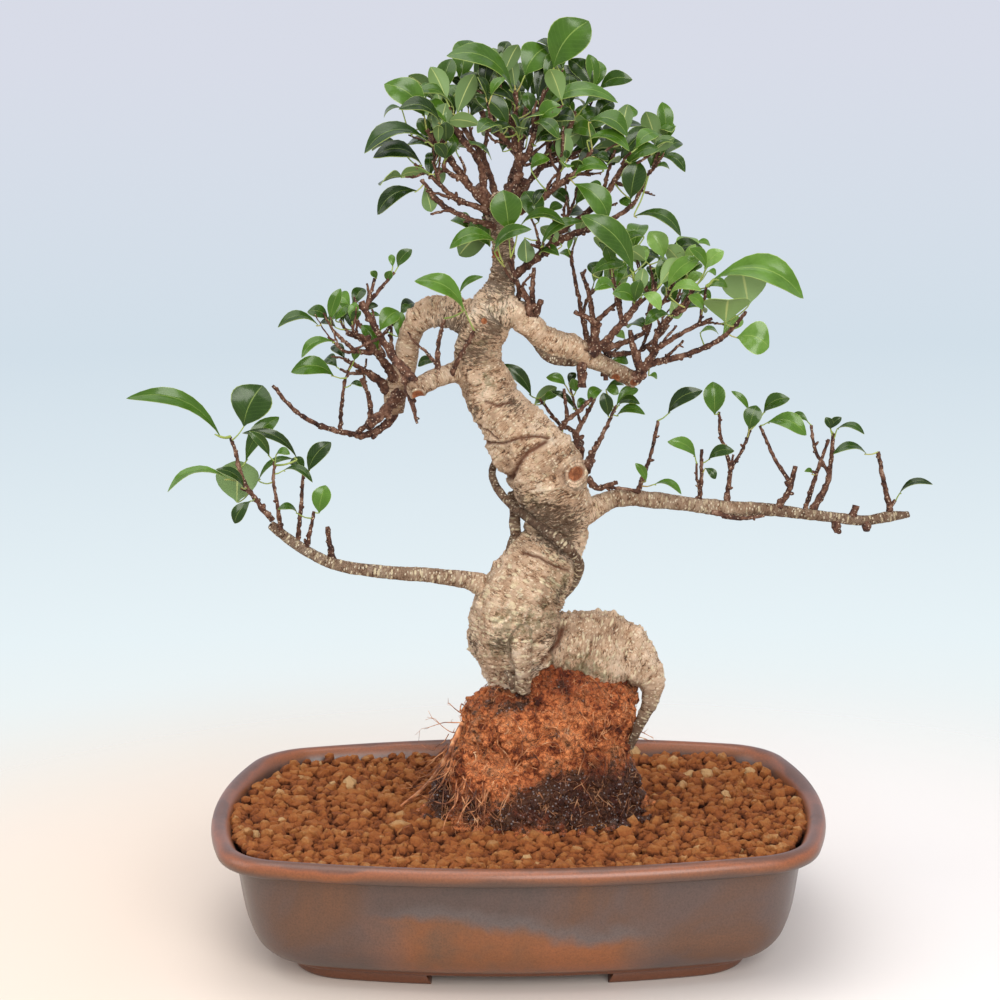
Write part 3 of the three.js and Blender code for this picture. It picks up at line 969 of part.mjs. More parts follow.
function woodSolids(grow) {
  return [
    limb(trunkLine, trunkSides, grow, trunkStep, barkRelief),
    limb(rightRoot, rootSides, grow, rootStep, barkRelief),
    ...Object.values(heavyLimbs).map((line) => limb(line, heavySides, grow, heavyStep)),
    ...Object.values(lightLimbs).map((line) => limb(line, lightSides, grow, lightStep)),
  ];
}

// Leaves and twigs
const up = new THREE.Vector3(0, 0, 1);

// Upper face of a leaf: towards the front for lift 0, upwards for lift 1, its back shown below 0
function leafNormal(axis, lift) {
  const front = new THREE.Vector3(0, lift < 0 ? 1 : -1, 0.17);
  const aim = front.multiplyScalar(1 - Math.abs(lift)).addScaledVector(up, Math.abs(lift));
  return aim.addScaledVector(axis, -aim.dot(axis)).normalize();
}

// Corners of a large leaf: 0 is its root in the twig, 2 and 3 the foot of the blade, 6 to 8 and 12 to 13
// its two wide rows, 16 the tip. Each has a partner straight below it on the underside.
const largeLeaf = {
  upper: [0, 3, 2, 2, 3, 7, 2, 7, 6, 3, 8, 7, 7, 13, 12, 6, 7, 12, 7, 8, 13, 12, 13, 16],
  partner: { 0: 1, 2: 4, 3: 5, 6: 9, 7: 10, 8: 11, 12: 14, 13: 15, 16: 17 },
  rim: [0, 3, 8, 13, 16, 12, 6, 2],
};

// A small leaf has one wide row, 6 to 8, and its tip is corner 12
const smallLeaf = {
  upper: [0, 3, 2, 2, 3, 7, 2, 7, 6, 3, 8, 7, 6, 7, 12, 7, 8, 12],
  partner: { 0: 1, 2: 4, 3: 5, 6: 9, 7: 10, 8: 11, 12: 13 },
  rim: [0, 3, 8, 12, 6, 2],
};

function leafFaces({ upper, partner, rim }) {
  const triangles = [...upper];
  for (let corner = 0; corner < upper.length; corner += 3) {
    const [a, b, c] = upper.slice(corner, corner + 3);
    triangles.push(partner[a], partner[c], partner[b]);
  }
  rim.forEach((from, index) => {
    const to = rim[(index + 1) % rim.length];
    triangles.push(from, partner[from], to, partner[from], partner[to], to);
  });
  return triangles;
}

// One leaf: a thin closed solid with its stalk. The blade is folded along its midrib, arched, and bows
// down towards its tip under its own weight.
function leafSolid(root, foot, tip, width, lift, extra = 0) {
  const axis = tip.clone().sub(foot);
  const length = axis.length();
  axis.normalize();
  const normal = leafNormal(axis, lift);
  const side = normal.clone().cross(axis);
  const stalk = foot.clone().sub(root).normalize();
  let stalkNormal = squareTo(normal, stalk);
  if (stalkNormal.length() < 0.35) stalkNormal = squareTo(axis, stalk).negate();
  stalkNormal.normalize();
  const stalkSide = stalkNormal.clone().cross(stalk);
  const footSide = stalkSide.dot(side) > 0 ? stalkSide.clone().add(side).normalize() : stalkSide;
  const footNormal = stalkNormal.clone().add(normal).normalize();
  const half = (leafThickness + extra) / 2;
  const points = [];
  const row = (middle, across, above, offsets, reach, fold) => [1, -1].forEach((face) => {
    offsets.forEach((offset) => points.push(middle.clone()
      .addScaledVector(above, face * half + Math.abs(offset) * reach * fold)
      .addScaledVector(across, offset * reach)));
  });
  const rise = squareTo(up, axis).multiplyScalar(leafDroop).addScaledVector(normal, leafArch);
  const onBlade = (share) => foot.clone()
    .addScaledVector(axis, length * share)
    .addScaledVector(rise, length * 4 * share * (1 - share));
  const reach = (width + extra) / 2;
  row(root, stalkSide, stalkNormal, [0], 0, 0);
  row(foot, footSide, footNormal, [1, -1], petioleRadius + extra / 2, 0);
  if (length > smallLeafLength) {
    row(onBlade(0.36), side, normal, [1, 0, -1], reach * 0.86, leafFold);
    row(onBlade(0.7), side, normal, [1, -1], reach, leafFold / 2);
  } else {
    row(onBlade(0.55), side, normal, [1, 0, -1], reach, leafFold);
  }
  row(onBlade(1), side, normal, [0], 0, 0);
  return solidOf(points, leafFaces(length > smallLeafLength ? largeLeaf : smallLeaf));
}

// Root of a stalk: the nearest point on the spray's twigs, set back along its twig by a few millimetres
function rootOnTwigs(place, twigs, setBack) {
  let best = null;
  twigs.forEach((twig) => {
    for (let index = 0; index + 1 < twig.length; index += 1) {
      const from = new THREE.Vector3(...twig[index]);
      const to = new THREE.Vector3(...twig[index + 1]);
      const point = new THREE.Line3(from, to).closestPointToPoint(place, true, new THREE.Vector3());
      const far = point.distanceTo(place);
      if (!best || far < best.far) best = { point, far, from };
    }
  });
  const room = best.point.distanceTo(best.from);
  return best.point.lerp(best.from, room > 0 ? Math.min(setBack / room, 0.8) : 0);
}

// A leaf whose stalk is sunk into the twig that it grows from, bent to the front or the back
function leafOnTwig(leaf, order, twigs, bend, extra = 0) {
  const [base, tip, width, lift] = leaf;
  const foot = new THREE.Vector3(...base).add(new THREE.Vector3(0, bend * 0.4, 0));
  const end = new THREE.Vector3(...tip).add(new THREE.Vector3(0, bend, 0));
  const root = rootOnTwigs(foot, twigs, stalkSpacing * (order % 3));
  return leafSolid(root, foot, end, width, lift, extra);
}

function makeTwigs(spray) {
  return joined(spray.twigs.map((line) => limb(line, twigSides, 0, twigStep)));
}

// True where two solids share space
function crosses(first, second) {
  const a = first.boundingBox();
  const b = second.boundingBox();
  const apart = [0, 1, 2].some((axis) => a.min[axis] > b.max[axis] || b.min[axis] > a.max[axis]);
  return !apart && !first.intersect(second).isEmpty();
}

// Leafy stems: the leaves of each one are bent clear of every other stem and of the wood
function makeSprays(grownWood) {
  const names = Object.keys(sprays);
  const stems = new Map(names.map((name) => [name, makeTwigs(sprays[name]).subtract(grownWood)]));
  const finished = new Map(stems);
  names.forEach((name) => {
    const { twigs, leaves } = sprays[name];
    const others = names.filter((other) => other !== name).map((other) => finished.get(other));
    const grown = [];
    leaves.forEach((leaf, order) => {
      const clearOf = (solids) => bendSteps.find((step) => {
        const trial = leafOnTwig(leaf, order, twigs, step, leafMargin);
        return !solids.some((other) => crosses(trial, other));
      });
      const bend = clearOf([...others, ...grown]) ?? clearOf(others);
      if (bend !== undefined) grown.push(leafOnTwig(leaf, order, twigs, bend));
    });
    const whole = joined([makeTwigs(sprays[name]), ...grown]).subtract(grownWood);
    finished.set(name, mainBody(whole));
  });
  return finished;
}

// The whole plant in its pot, moved so that the middle of its box stands over the origin
const wood = mainBody(joined(woodSolids(0)));
const grownWood = joined(woodSolids(seatGap));
const plant = new THREE.Group();
plant.add(meshOf(makePot(), 'pot', colours.pot));
plant.add(meshOf(makeScreen(-drainOffset), 'drain_screen_left', colours.screen));
plant.add(meshOf(makeScreen(drainOffset), 'drain_screen_right', colours.screen));
plant.add(meshOf(makeSoil(), 'soil', colours.soil));
plant.add(meshOf(makeRootBall(grownWood), 'root_ball', colours.peat));
plant.add(meshOf(wood, 'trunk', colours.bark));
makeSprays(grownWood).forEach((spray, name) => plant.add(meshOf(spray, name, colours.leaf)));

const box = new THREE.Box3().setFromObject(plant);
plant.position.set(-(box.min.x + box.max.x) / 2, -(box.min.y + box.max.y) / 2, -box.min.z);

export default plant;
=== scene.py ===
import math

import bpy
import numpy as np
from mathutils import Matrix, Vector, noise


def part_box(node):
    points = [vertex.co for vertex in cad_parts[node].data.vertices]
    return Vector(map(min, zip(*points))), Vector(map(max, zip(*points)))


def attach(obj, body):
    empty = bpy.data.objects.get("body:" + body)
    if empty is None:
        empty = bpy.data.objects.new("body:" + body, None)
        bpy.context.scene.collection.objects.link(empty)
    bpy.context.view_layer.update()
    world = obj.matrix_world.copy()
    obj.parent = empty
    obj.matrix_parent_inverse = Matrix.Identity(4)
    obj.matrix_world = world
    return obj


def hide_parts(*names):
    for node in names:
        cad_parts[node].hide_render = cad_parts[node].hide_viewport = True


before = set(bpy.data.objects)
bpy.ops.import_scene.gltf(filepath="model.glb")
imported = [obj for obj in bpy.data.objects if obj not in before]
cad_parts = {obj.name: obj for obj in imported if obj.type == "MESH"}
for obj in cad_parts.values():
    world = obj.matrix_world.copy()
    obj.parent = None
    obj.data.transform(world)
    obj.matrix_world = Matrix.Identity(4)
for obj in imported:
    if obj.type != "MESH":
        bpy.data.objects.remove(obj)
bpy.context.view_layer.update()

# The camera stands a little above the pot's rim and looks slightly down, as the photograph does.
pot_low, pot_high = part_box("pot")
pot_middle = np.array([(pot_low.x + pot_high.x) / 2, (pot_low.y + pot_high.y) / 2, 0])


def place(point):
    """A point in millimetres from the pot's middle, as metres in the frame."""
    return pot_middle + np.array(point[:3], float) / 1000


view_from = place((-0.2255, -1331.18, 483.95))
view_along = Vector((-0.00622544, 0.98605756, -0.16628807))
roll = math.radians(-0.64)

bpy.ops.object.camera_add(location=view_from)
camera = bpy.context.object
camera.name = "camera"
camera.rotation_mode = "QUATERNION"
camera.rotation_quaternion = (
    view_along.to_track_quat("-Z", "Y") @ Matrix.Rotation(roll, 3, "Z").to_quaternion()
)
camera.data.lens = 83.96
camera.data.sensor_width = 36
camera.data.clip_start = 0.05
bpy.context.scene.camera = camera

# Floor: a pale matt table top that fades out into the pale studio, so that no edge of it shows.
floor_radius = 1.5


def linear(code):
    """An sRGB hex colour as the linear values that shaders take."""
    channels = [int(code[at:at + 2], 16) / 255 for at in (1, 3, 5)]
    return tuple(c / 12.92 if c < 0.0405 else ((c + 0.055) / 1.055) ** 2.4 for c in channels) + (1,)


def set_inputs(tree, node, inputs):
    """Sets a node's inputs to values, colours by their code, sockets or nodes' first outputs."""
    for name, value in inputs.items():
        if isinstance(value, bpy.types.Node):
            value = value.outputs[0]
        if isinstance(value, bpy.types.NodeSocket):
            tree.links.new(value, node.inputs[name])
        else:
            node.inputs[name].default_value = linear(value) if isinstance(value, str) else value


def add_node(tree, kind, inputs=(), stops=(), **settings):
    """Adds one shader node: its inputs by name or in their order, a ramp's stops, its settings."""
    new = tree.nodes.new("ShaderNode" + kind)
    for name, value in settings.items():
        setattr(new, name, value)
    set_inputs(tree, new, inputs if isinstance(inputs, dict) else dict(enumerate(inputs)))
    for index, (position, code) in enumerate(stops):
        ramp = new.color_ramp.elements
        stop = ramp[index] if index < len(ramp) else ramp.new(position)
        stop.position = position
        stop.color = linear(code)
    return new


def new_material(name, **values):
    """A material whose own shader takes the values that are the same all over it."""
    material = bpy.data.materials.new(name)
    material.use_nodes = True
    tree = material.node_tree
    shader = tree.nodes["Principled BSDF"]
    set_inputs(tree, shader, {socket.replace("_", " "): value for socket, value in values.items()})
    return material, tree, shader


bpy.ops.mesh.primitive_circle_add(
    vertices=96, radius=floor_radius, fill_type="NGON", location=(0, 0, 0))
floor = bpy.context.object
floor.name = "floor"
floor_paint, tree, shader = new_material("pale_matt_table_top", Roughness=0.85)
here = add_node(tree, "TexCoord").outputs["Object"]
across = add_node(tree, "SeparateXYZ", [here]).outputs["X"]
side = add_node(tree, "MapRange", [across, -0.25, 0.25])
table_tone = add_node(tree, "MixRGB", [side, "#dccbb9", "#e3ddd6"])
far = add_node(tree, "VectorMath", [here], operation="LENGTH").outputs["Value"]
fade = add_node(tree, "MapRange", [far, 0.24, 0.72, 1.0, 0.0], interpolation_type="SMOOTHSTEP")
set_inputs(tree, shader, {"Base Color": table_tone, "Alpha": fade})
floor.data.materials.append(floor_paint)

# Studio light: a large soft panel overhead, weaker ones in front and on the left, and a soft glow
# from all round. A panel has its place, the point it faces, its size and its power.
panels = {
    "panel_overhead": ((-0.25, -0.35, 1.75), (0.0, 0.0, 0.25), 1.5, 19),
    "panel_front": ((0.5, -1.9, 0.95), (0.0, 0.0, 0.2), 1.1, 34),
    "panel_left": ((-1.7, -0.2, 0.8), (0.0, 0.0, 0.25), 1.0, 7),
}
for name, (spot, aim, size, power) in panels.items():
    bpy.ops.object.light_add(type="AREA", location=spot)
    panel = bpy.context.object
    panel.name = name
    panel.data.size = size
    panel.data.energy = power
    panel.rotation_mode = "QUATERNION"
    panel.rotation_quaternion = (Vector(aim) - Vector(spot)).to_track_quat("-Z", "Y")

world = bpy.data.worlds.new("studio")
world.use_nodes = True
bpy.context.scene.world = world
tree = world.node_tree
direction = add_node(tree, "TexCoord").outputs["Generated"]
up = add_node(tree, "SeparateXYZ", [direction]).outputs["Z"]
glow = add_node(tree, "MapRange", [up, -0.4, 0.1])
tint = add_node(tree, "ValToRGB", [glow], stops=[
    (0.0, "#fbf5ed"), (0.22, "#f6f7f3"), (0.36, "#e8f3f7"), (0.6, "#d2dfe9"), (0.84, "#d8dce8"),
    (1.0, "#d8dae6")])
set_inputs(tree, tree.nodes["Background"], {"Color": tint, "Strength": 1.0})
bpy.context.scene.view_settings.view_transform = "Standard"


# Pot: one piece of stoneware, pressed and glazed, with a rolled lip and a body that draws in to a
# low step. Its outline is a bowed rectangle: two flat arcs, two rounder ones and turned corners.
half_width, half_depth = 180, 137
side_radius, end_radius, corner_radius, tightest_corner = 476, 232, 60, 14


def pot_outline(inset, steps=(7, 12, 8)):
    """Points round the pot, this far inside its widest line; steps for end, corner and side."""
    side, end = side_radius - inset, end_radius - inset
    corner = max(corner_radius - inset * 0.6, tightest_corner)
    side_y, end_x = half_depth - inset - side, half_width - inset - end
    reach_side, reach_end, apart = side - corner, end - corner, math.hypot(end_x, side_y)
    along = (reach_end ** 2 - reach_side ** 2 + apart ** 2) / (2 * apart)
    aside = math.sqrt(reach_end ** 2 - along ** 2)
    unit_x, unit_y = -end_x / apart, side_y / apart
    x = end_x + unit_x * along - unit_y * aside
    y = unit_y * along + unit_x * aside
    end_turn, side_turn = math.atan2(y, x - end_x), math.atan2(y - side_y, x)
    arcs = ((end_x, 0, end, 0, end_turn), (x, y, corner, end_turn, side_turn),
            (0, side_y, side, side_turn, math.pi / 2))
    quarter = [
        (cx + radius * math.cos(turn), cy + radius * math.sin(turn))
        for (cx, cy, radius, first, last), count in zip(arcs, steps)
        for turn in np.linspace(first, last, count, endpoint=False)
    ]
    half = quarter + [(0, half_depth - inset)] + [(-px, py) for px, py in quarter[:0:-1]]
    return half + [(-px, -py) for px, py in half]


def outline_ring(name, inset, height):
    """A closed ring of edges on the pot's outline, selected and in edit mode."""
    points = pot_outline(inset)
    bpy.ops.object.select_all(action="DESELECT")
    bpy.ops.mesh.primitive_circle_add(vertices=len(points), radius=1, location=(0, 0, 0))
    ring = bpy.context.object
    ring.name = name
    for vertex, (x, y) in zip(ring.data.vertices, points):
        vertex.co = place((x, y, height))
    bpy.ops.object.mode_set(mode="EDIT")
    bpy.ops.mesh.select_all(action="SELECT")
    return ring


def draw_up(profile):
    """Extrudes the selected ring through rows of inset and height in millimetres."""
    for (inset, height), (next_inset, next_height) in zip(profile, profile[1:]):
        bpy.ops.mesh.extrude_edges_move(
            TRANSFORM_OT_translate={"value": (0, 0, (next_height - height) / 1000)})
        bpy.ops.transform.resize(
            value=((half_width - next_inset) / (half_width - inset),
                   (half_depth - next_inset) / (half_depth - inset), 1),
            center_override=tuple(place((0, 0, next_height))))


def shape(piece, name, kind, **settings):
    """Gives a piece a modifier with its settings and applies it."""
    modifier = piece.modifiers.new(name, kind)
    for setting, value in settings.items():
        setattr(modifier, setting, value)
    bpy.context.view_layer.objects.active = piece
    bpy.ops.object.modifier_apply(modifier=modifier.name)


def choose(*pieces):
    """Selects these pieces and no others, the last one as the active one."""
    bpy.ops.object.select_all(action="DESELECT")
    for piece in pieces:
        piece.select_set(True)
    bpy.context.view_layer.objects.active = pieces[-1]


def finish_shell(piece, levels):
    """Outward normals, then a subdivision surface that is applied, and smooth shading."""
    bpy.ops.mesh.select_all(action="SELECT")
    bpy.ops.mesh.remove_doubles(threshold=0.00001)
    bpy.ops.mesh.normals_make_consistent(inside=False)
    bpy.ops.object.mode_set(mode="OBJECT")
    if levels:
        shape(piece, "rounding", "SUBSURF", levels=levels, render_levels=levels)
    bpy.ops.object.shade_smooth()


pot = outline_ring("stoneware_pot", 52, 6.6)
bpy.ops.mesh.edge_face_add()
bpy.ops.mesh.select_all(action="SELECT")
draw_up([
    (52, 6.6), (41.5, 6.6), (39.6, 7.0), (38.9, 8.2), (38.6, 9.4), (36.6, 10.2), (34.6, 11.0),
    (31.5, 12.2), (28.5, 14.0), (25, 17.6), (22, 22), (19.6, 28), (18.1, 34), (17, 41), (16, 48),
    (14.9, 55), (13.7, 62), (12.9, 66.5), (12.4, 68.6), (11.0, 69.5), (7.5, 69.9), (4.2, 70.4),
    (2.2, 71.6), (1.0, 73.4), (0.6, 75.4), (0.9, 77.4), (1.9, 79.3), (3.4, 80.5), (5.4, 81.0),
    (7.6, 80.6), (9.4, 79.2), (10.8, 77.0), (12.2, 74), (14.4, 68), (17.6, 60), (21.4, 51),
    (25, 40), (29.5, 28.5), (37, 20), (44, 17.6), (53, 17),
])
bpy.ops.mesh.edge_face_add()
finish_shell(pot, 1)

# The four corner feet were cut from one band of clay: a shallow ring under the body with its middle
# stretches taken out, edges wiped round.
feet = outline_ring("pot_feet", 41.5, 9)
draw_up([
    (41.5, 9), (42.2, 4), (43, 1.2), (44.2, 0.2), (46, 0), (54, 0), (55.6, 0.3), (56.6, 1.4),
    (57, 9), (41.5, 9),
])
finish_shell(feet, 1)
gap_top, gap_bottom, gap_widening = 12, -3, 7
for half_x, half_y in ((48, 200), (200, 34)):
    bpy.ops.mesh.primitive_cylinder_add(vertices=4, radius=1, depth=1, location=(0, 0, 0))
    cutter = bpy.context.object
    for vertex in cutter.data.vertices:
        # A gap between two feet is wider at its top than on the table.
        wider = gap_widening if vertex.co.z > 0 else 0
        x = half_x + wider if half_x < half_y else half_x
        y = half_y + wider if half_y < half_x else half_y
        vertex.co = place((math.copysign(x, vertex.co.x + vertex.co.y),
                           math.copysign(y, vertex.co.y - vertex.co.x),
                           gap_top if wider else gap_bottom))
    shape(feet, "foot_gap", "BOOLEAN", operation="DIFFERENCE", solver="EXACT", object=cutter)
    bpy.data.objects.remove(cutter)
choose(feet)
shape(feet, "wiped_edges", "BEVEL", width=0.0009, segments=2, angle_limit=math.radians(50))
bpy.ops.object.shade_smooth_by_angle(angle=math.radians(40))

# Two drain holes go through the floor of the pot.
hole_radius, hole_x = 0.010, 72
for x in (-hole_x, hole_x):
    bpy.ops.mesh.primitive_cylinder_add(
        vertices=32, radius=hole_radius, depth=0.03, location=place((x, 0, 12)))
    drill = bpy.context.object
    shape(pot, "drain_hole", "BOOLEAN", operation="DIFFERENCE", solver="EXACT", object=drill)
    bpy.data.objects.remove(drill)

# Iron glaze fired in a kiln: semi-matt brown with mauve and blue-grey clouds, coppery where it ran
# thin on the lip, dark low on the lip under its roll as painted shade, and a rust-orange patch low
# on the front with a blue-grey edge. The eye gets slow colour clouds of 40 to 120 mm, a fine
# speckle under 1 mm and a broad soft shine.
glaze, tree, shader = new_material("iron_glaze", IOR=1.5, Coat_Weight=0.2, Coat_Roughness=0.22)
here = add_node(tree, "TexCoord").outputs["Object"]
spot = add_node(tree, "SeparateXYZ", [here])
clouds = add_node(tree, "TexNoise", {
    "Vector": here, "Scale": 13.0, "Detail": 4.0, "Roughness": 0.55, "Distortion": 0.6})
speckle = add_node(tree, "TexNoise", {
    "Vector": here, "Scale": 900.0, "Detail": 2.0, "Roughness": 0.7})
body_tone = add_node(tree, "ValToRGB", [clouds], stops=[
    (0.28, "#443830"), (0.42, "#524039"), (0.52, "#5a4339"), (0.62, "#5e3f2c"), (0.75, "#6b4429")])
border_wave = add_node(tree, "TexNoise", {
    "Vector": here, "Scale": 26.0, "Detail": 3.0, "Roughness": 0.6})
# The patch's upper edge is wavy and falls from left to right, 12 mm in every 100.
slope = add_node(tree, "Math", [spot.outputs["X"], 0.12], operation="MULTIPLY")
lift = add_node(tree, "Math", [spot.outputs["Z"], slope], operation="ADD")
wavy = add_node(tree, "Math", [border_wave, 0.03, lift], operation="MULTIPLY_ADD")
below = add_node(tree, "MapRange", [wavy, 0.058, 0.051], interpolation_type="SMOOTHSTEP")
edge = add_node(tree, "MapRange", [wavy, 0.066, 0.056], interpolation_type="SMOOTHSTEP")
off_middle = add_node(tree, "Math", [spot.outputs["X"], 0.018], operation="ADD")
sideways = add_node(tree, "Math", [off_middle], operation="ABSOLUTE")
across = add_node(tree, "Math", [clouds, -0.05, sideways], operation="MULTIPLY_ADD")
within = add_node(tree, "MapRange", [across, 0.062, 0.028], interpolation_type="SMOOTHSTEP")
front = add_node(tree, "MapRange", [spot.outputs["Y"], -0.05, -0.09])
patch_place = add_node(tree, "Math", [within, front], operation="MULTIPLY")
edge_share = add_node(tree, "Math", [edge, patch_place], operation="MULTIPLY")
edge_soft = add_node(tree, "Math", [edge_share, 0.75], operation="MULTIPLY")
patch_share = add_node(tree, "Math", [below, patch_place], operation="MULTIPLY")
patch_tone = add_node(tree, "ValToRGB", [border_wave], stops=[
    (0.3, "#65452e"), (0.5, "#7c4924"), (0.65, "#864d26")])
with_edge = add_node(tree, "MixRGB", [edge_soft, body_tone, "#5f5450"])
with_patch = add_node(tree, "MixRGB", [patch_share, with_edge, patch_tone])
lip = add_node(tree, "MapRange", [spot.outputs["Z"], 0.0685, 0.0715, 0.0, 0.85],
    interpolation_type="SMOOTHSTEP")
# The lip's tone follows its height: dark on its underside, which is painted shade, and copper
# higher up where the glaze ran thin.
lip_height = add_node(tree, "MapRange", [spot.outputs["Z"], 0.07, 0.081])
unevenly = add_node(tree, "Math", [clouds, 0.5], operation="SUBTRACT")
lip_thin_and_shade = add_node(tree, "Math", [unevenly, 1.1, lip_height], operation="MULTIPLY_ADD")
lip_tone = add_node(tree, "ValToRGB", [lip_thin_and_shade], stops=[
    (0.05, "#4a372c"), (0.3, "#5e3d2b"), (0.55, "#854a21"), (0.8, "#945026"), (0.95, "#6c422e"),
    (1.0, "#643e2c")])
with_lip = add_node(tree, "MixRGB", [lip, with_patch, lip_tone])
bare = add_node(tree, "MapRange", [spot.outputs["Z"], 0.0115, 0.0095])
with_clay = add_node(tree, "MixRGB", [bare, with_lip, "#6b3f28"])
speck_tone = add_node(tree, "ValToRGB", [speckle], stops=[
    (0.3, "#8a8a8a"), (0.5, "#d9d9d9"), (0.72, "#ffffff")])
speckled = add_node(tree, "MixRGB", [0.45, with_clay, speck_tone], blend_type="MULTIPLY")
shine = add_node(tree, "MapRange", [clouds, 0.3, 0.7, 0.36, 0.5])
pitting = add_node(tree, "Bump", {"Height": speckle, "Strength": 0.12, "Distance": 0.0004})
set_inputs(tree, shader, {"Base Color": speckled, "Roughness": shine, "Normal": pitting})
for part in (pot, feet):
    part.data.materials.clear()
    part.data.materials.append(glaze)

# The pot and its feet were fired as one piece.
choose(feet, pot)
bpy.ops.object.join()
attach(pot, "root")
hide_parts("pot")

# Drainage screens: squares of black polythene mesh, moulded in one sheet and cut to size. They lie
# over the drain holes to keep the soil in, and nothing of them shows.
mesh_plastic, tree, shader = new_material("black_polythene", Roughness=0.55)
here = add_node(tree, "TexCoord").outputs["Object"]
haze = add_node(tree, "TexNoise", {"Vector": here, "Scale": 160.0, "Detail": 3.0})
tone = add_node(tree, "ValToRGB", [haze], stops=[(0.35, "#1c1e1d"), (0.7, "#34322e")])
set_inputs(tree, shader, {"Base Color": tone})
for name in ("drain_screen_left", "drain_screen_right"):
    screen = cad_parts[name]
    screen.data.materials.clear()
    screen.data.materials.append(mesh_plastic)


# Soil: baked clay granules 4 to 9 mm across, rust brown with some tan ones, filled to just under
# the lip. The lower ones show only in the gaps, so they lie on a dark bed whose colour is painted
# shade for those gaps.
soil_level, mound = 70.5, 2.5
ball_x, ball_y, ball_half_x, ball_half_y = 12, 1, 56, 41
random = np.random.default_rng(20)


def soil_height(x, y):
    """Height of the soil, a little higher round the tree and up against the pot's wall."""
    bank = 5.5 * np.clip((x / 165) ** 2 + (y / 122) ** 2 - 0.4, 0, 0.85)
    return soil_level + mound * np.exp(-((x / 95) ** 2) - ((y / 70) ** 2)) + bank


def inside(points, outline):
    """True for each x, y that lies inside a closed outline."""
    x, y = points[:, 0], points[:, 1]
    hit = np.zeros(len(points), bool)
    for (x0, y0), (x1, y1) in zip(outline, outline[1:] + outline[:1]):
        crossing = (y0 > y) != (y1 > y)
        with np.errstate(divide="ignore", invalid="ignore"):
            hit ^= crossing & (x < (x1 - x0) * (y - y0) / (y1 - y0) + x0)
    return hit


bed = outline_ring("soil_bed", 53, 19)
bpy.ops.mesh.edge_face_add()
bpy.ops.mesh.select_all(action="SELECT")
bed_top = 66.5
draw_up([(53, 19), (40, 22), (30, 31), (23.5, 50), (18, 64), (17.6, bed_top)])
ring_sizes = (1.0, 0.9, 0.75, 0.6, 0.45, 0.3)
for size, next_size in zip(ring_sizes, ring_sizes[1:]):
    bpy.ops.mesh.extrude_edges_move(TRANSFORM_OT_translate={"value": (0, 0, 0)})
    bpy.ops.transform.resize(value=(next_size / size, next_size / size, 1),
                             center_override=tuple(place((0, 0, bed_top))))
bpy.ops.mesh.merge(type="CENTER")
finish_shell(bed, 0)
# The bed's near-black brown is painted shade for the gaps between the granules.
bed_painted_shade, tree, shader = new_material("soil_bed_painted_shade", Roughness=0.95)
here = add_node(tree, "TexCoord").outputs["Object"]
dust = add_node(tree, "TexNoise", {"Vector": here, "Scale": 300.0, "Detail": 3.0})
tone = add_node(tree, "ValToRGB", [dust], stops=[(0.35, "#2a150c"), (0.7, "#4a2615")])
set_inputs(tree, shader, {"Base Color": tone})
bed.data.materials.append(bed_painted_shade)

# One granule is a cube rounded to a pebble; each copy is turned, squeezed and dented on its own.
bpy.ops.object.select_all(action="DESELECT")
bpy.ops.mesh.primitive_cube_add(size=2, location=(0, 0, 0))
bpy.ops.object.mode_set(mode="EDIT")
bpy.ops.mesh.subdivide(number_cuts=1, smoothness=0)
bpy.ops.object.mode_set(mode="OBJECT")
pebble = bpy.context.object
pebble_points = np.array([vertex.co for vertex in pebble.data.vertices])
pebble_points /= np.linalg.norm(pebble_points, axis=1)[:, None] ** 0.8
pebble_faces = np.array([list(face.vertices) for face in pebble.data.polygons])
bpy.data.objects.remove(pebble)


def new_piece(name, data):
    """A new object for a mesh or curve, chosen for the next step."""
    piece = bpy.data.objects.new(name, data)
    bpy.context.collection.objects.link(piece)
    choose(piece)
    return piece


def mark(mesh, name, values):
    """Gives each point of a mesh a number that its material reads under this name."""
    attribute = mesh.attributes.new(name, "FLOAT", "POINT")
    attribute.data.foreach_set("value", values.astype(np.float32))


def turned(points, turns):
    """Each copy of the points turned by its own random unit quaternion."""
    w, x, y, z = turns.T
    matrix = np.stack([
        1 - 2 * (y * y + z * z), 2 * (x * y - z * w), 2 * (x * z + y * w),
        2 * (x * y + z * w), 1 - 2 * (x * x + z * z), 2 * (y * z - x * w),
        2 * (x * z - y * w), 2 * (y * z + x * w), 1 - 2 * (x * x + y * y)], axis=1)
    return np.einsum("nij,nkj->nki", matrix.reshape(-1, 3, 3), points)


def scatter_lumps(name, middles, sizes, tones, dent, long, underside_shade=0.0):
    """A piece of dented lumps at these places, each with its tone and with painted shade on its
    underside.
    """
    count = len(middles)
    points = np.repeat(pebble_points[None], count, axis=0)
    points *= random.uniform(1 - dent, 1 + dent, (count, len(pebble_points), 1))
    points *= random.uniform(1 / long, long, (count, 1, 3))
    turns = random.normal(size=(count, 4))
    turns /= np.linalg.norm(turns, axis=1)[:, None]
    points = turned(points, turns)
    tones = (tones[:, None] + underside_shade * np.clip(points[:, :, 2], -1, 1)).ravel()
    points = points * (sizes / 2)[:, None, None] + middles[:, None]
    points = points.reshape(-1, 3) / 1000 + pot_middle
    first_points = np.arange(count) * len(pebble_points)
    mesh = bpy.data.meshes.new(name)
    mesh.from_pydata(points, [], (pebble_faces + first_points[:, None, None]).reshape(-1, 4))
    mark(mesh, "tone", tones)
    lumps = new_piece(name, mesh)
    bpy.ops.object.shade_smooth()
    return lumps


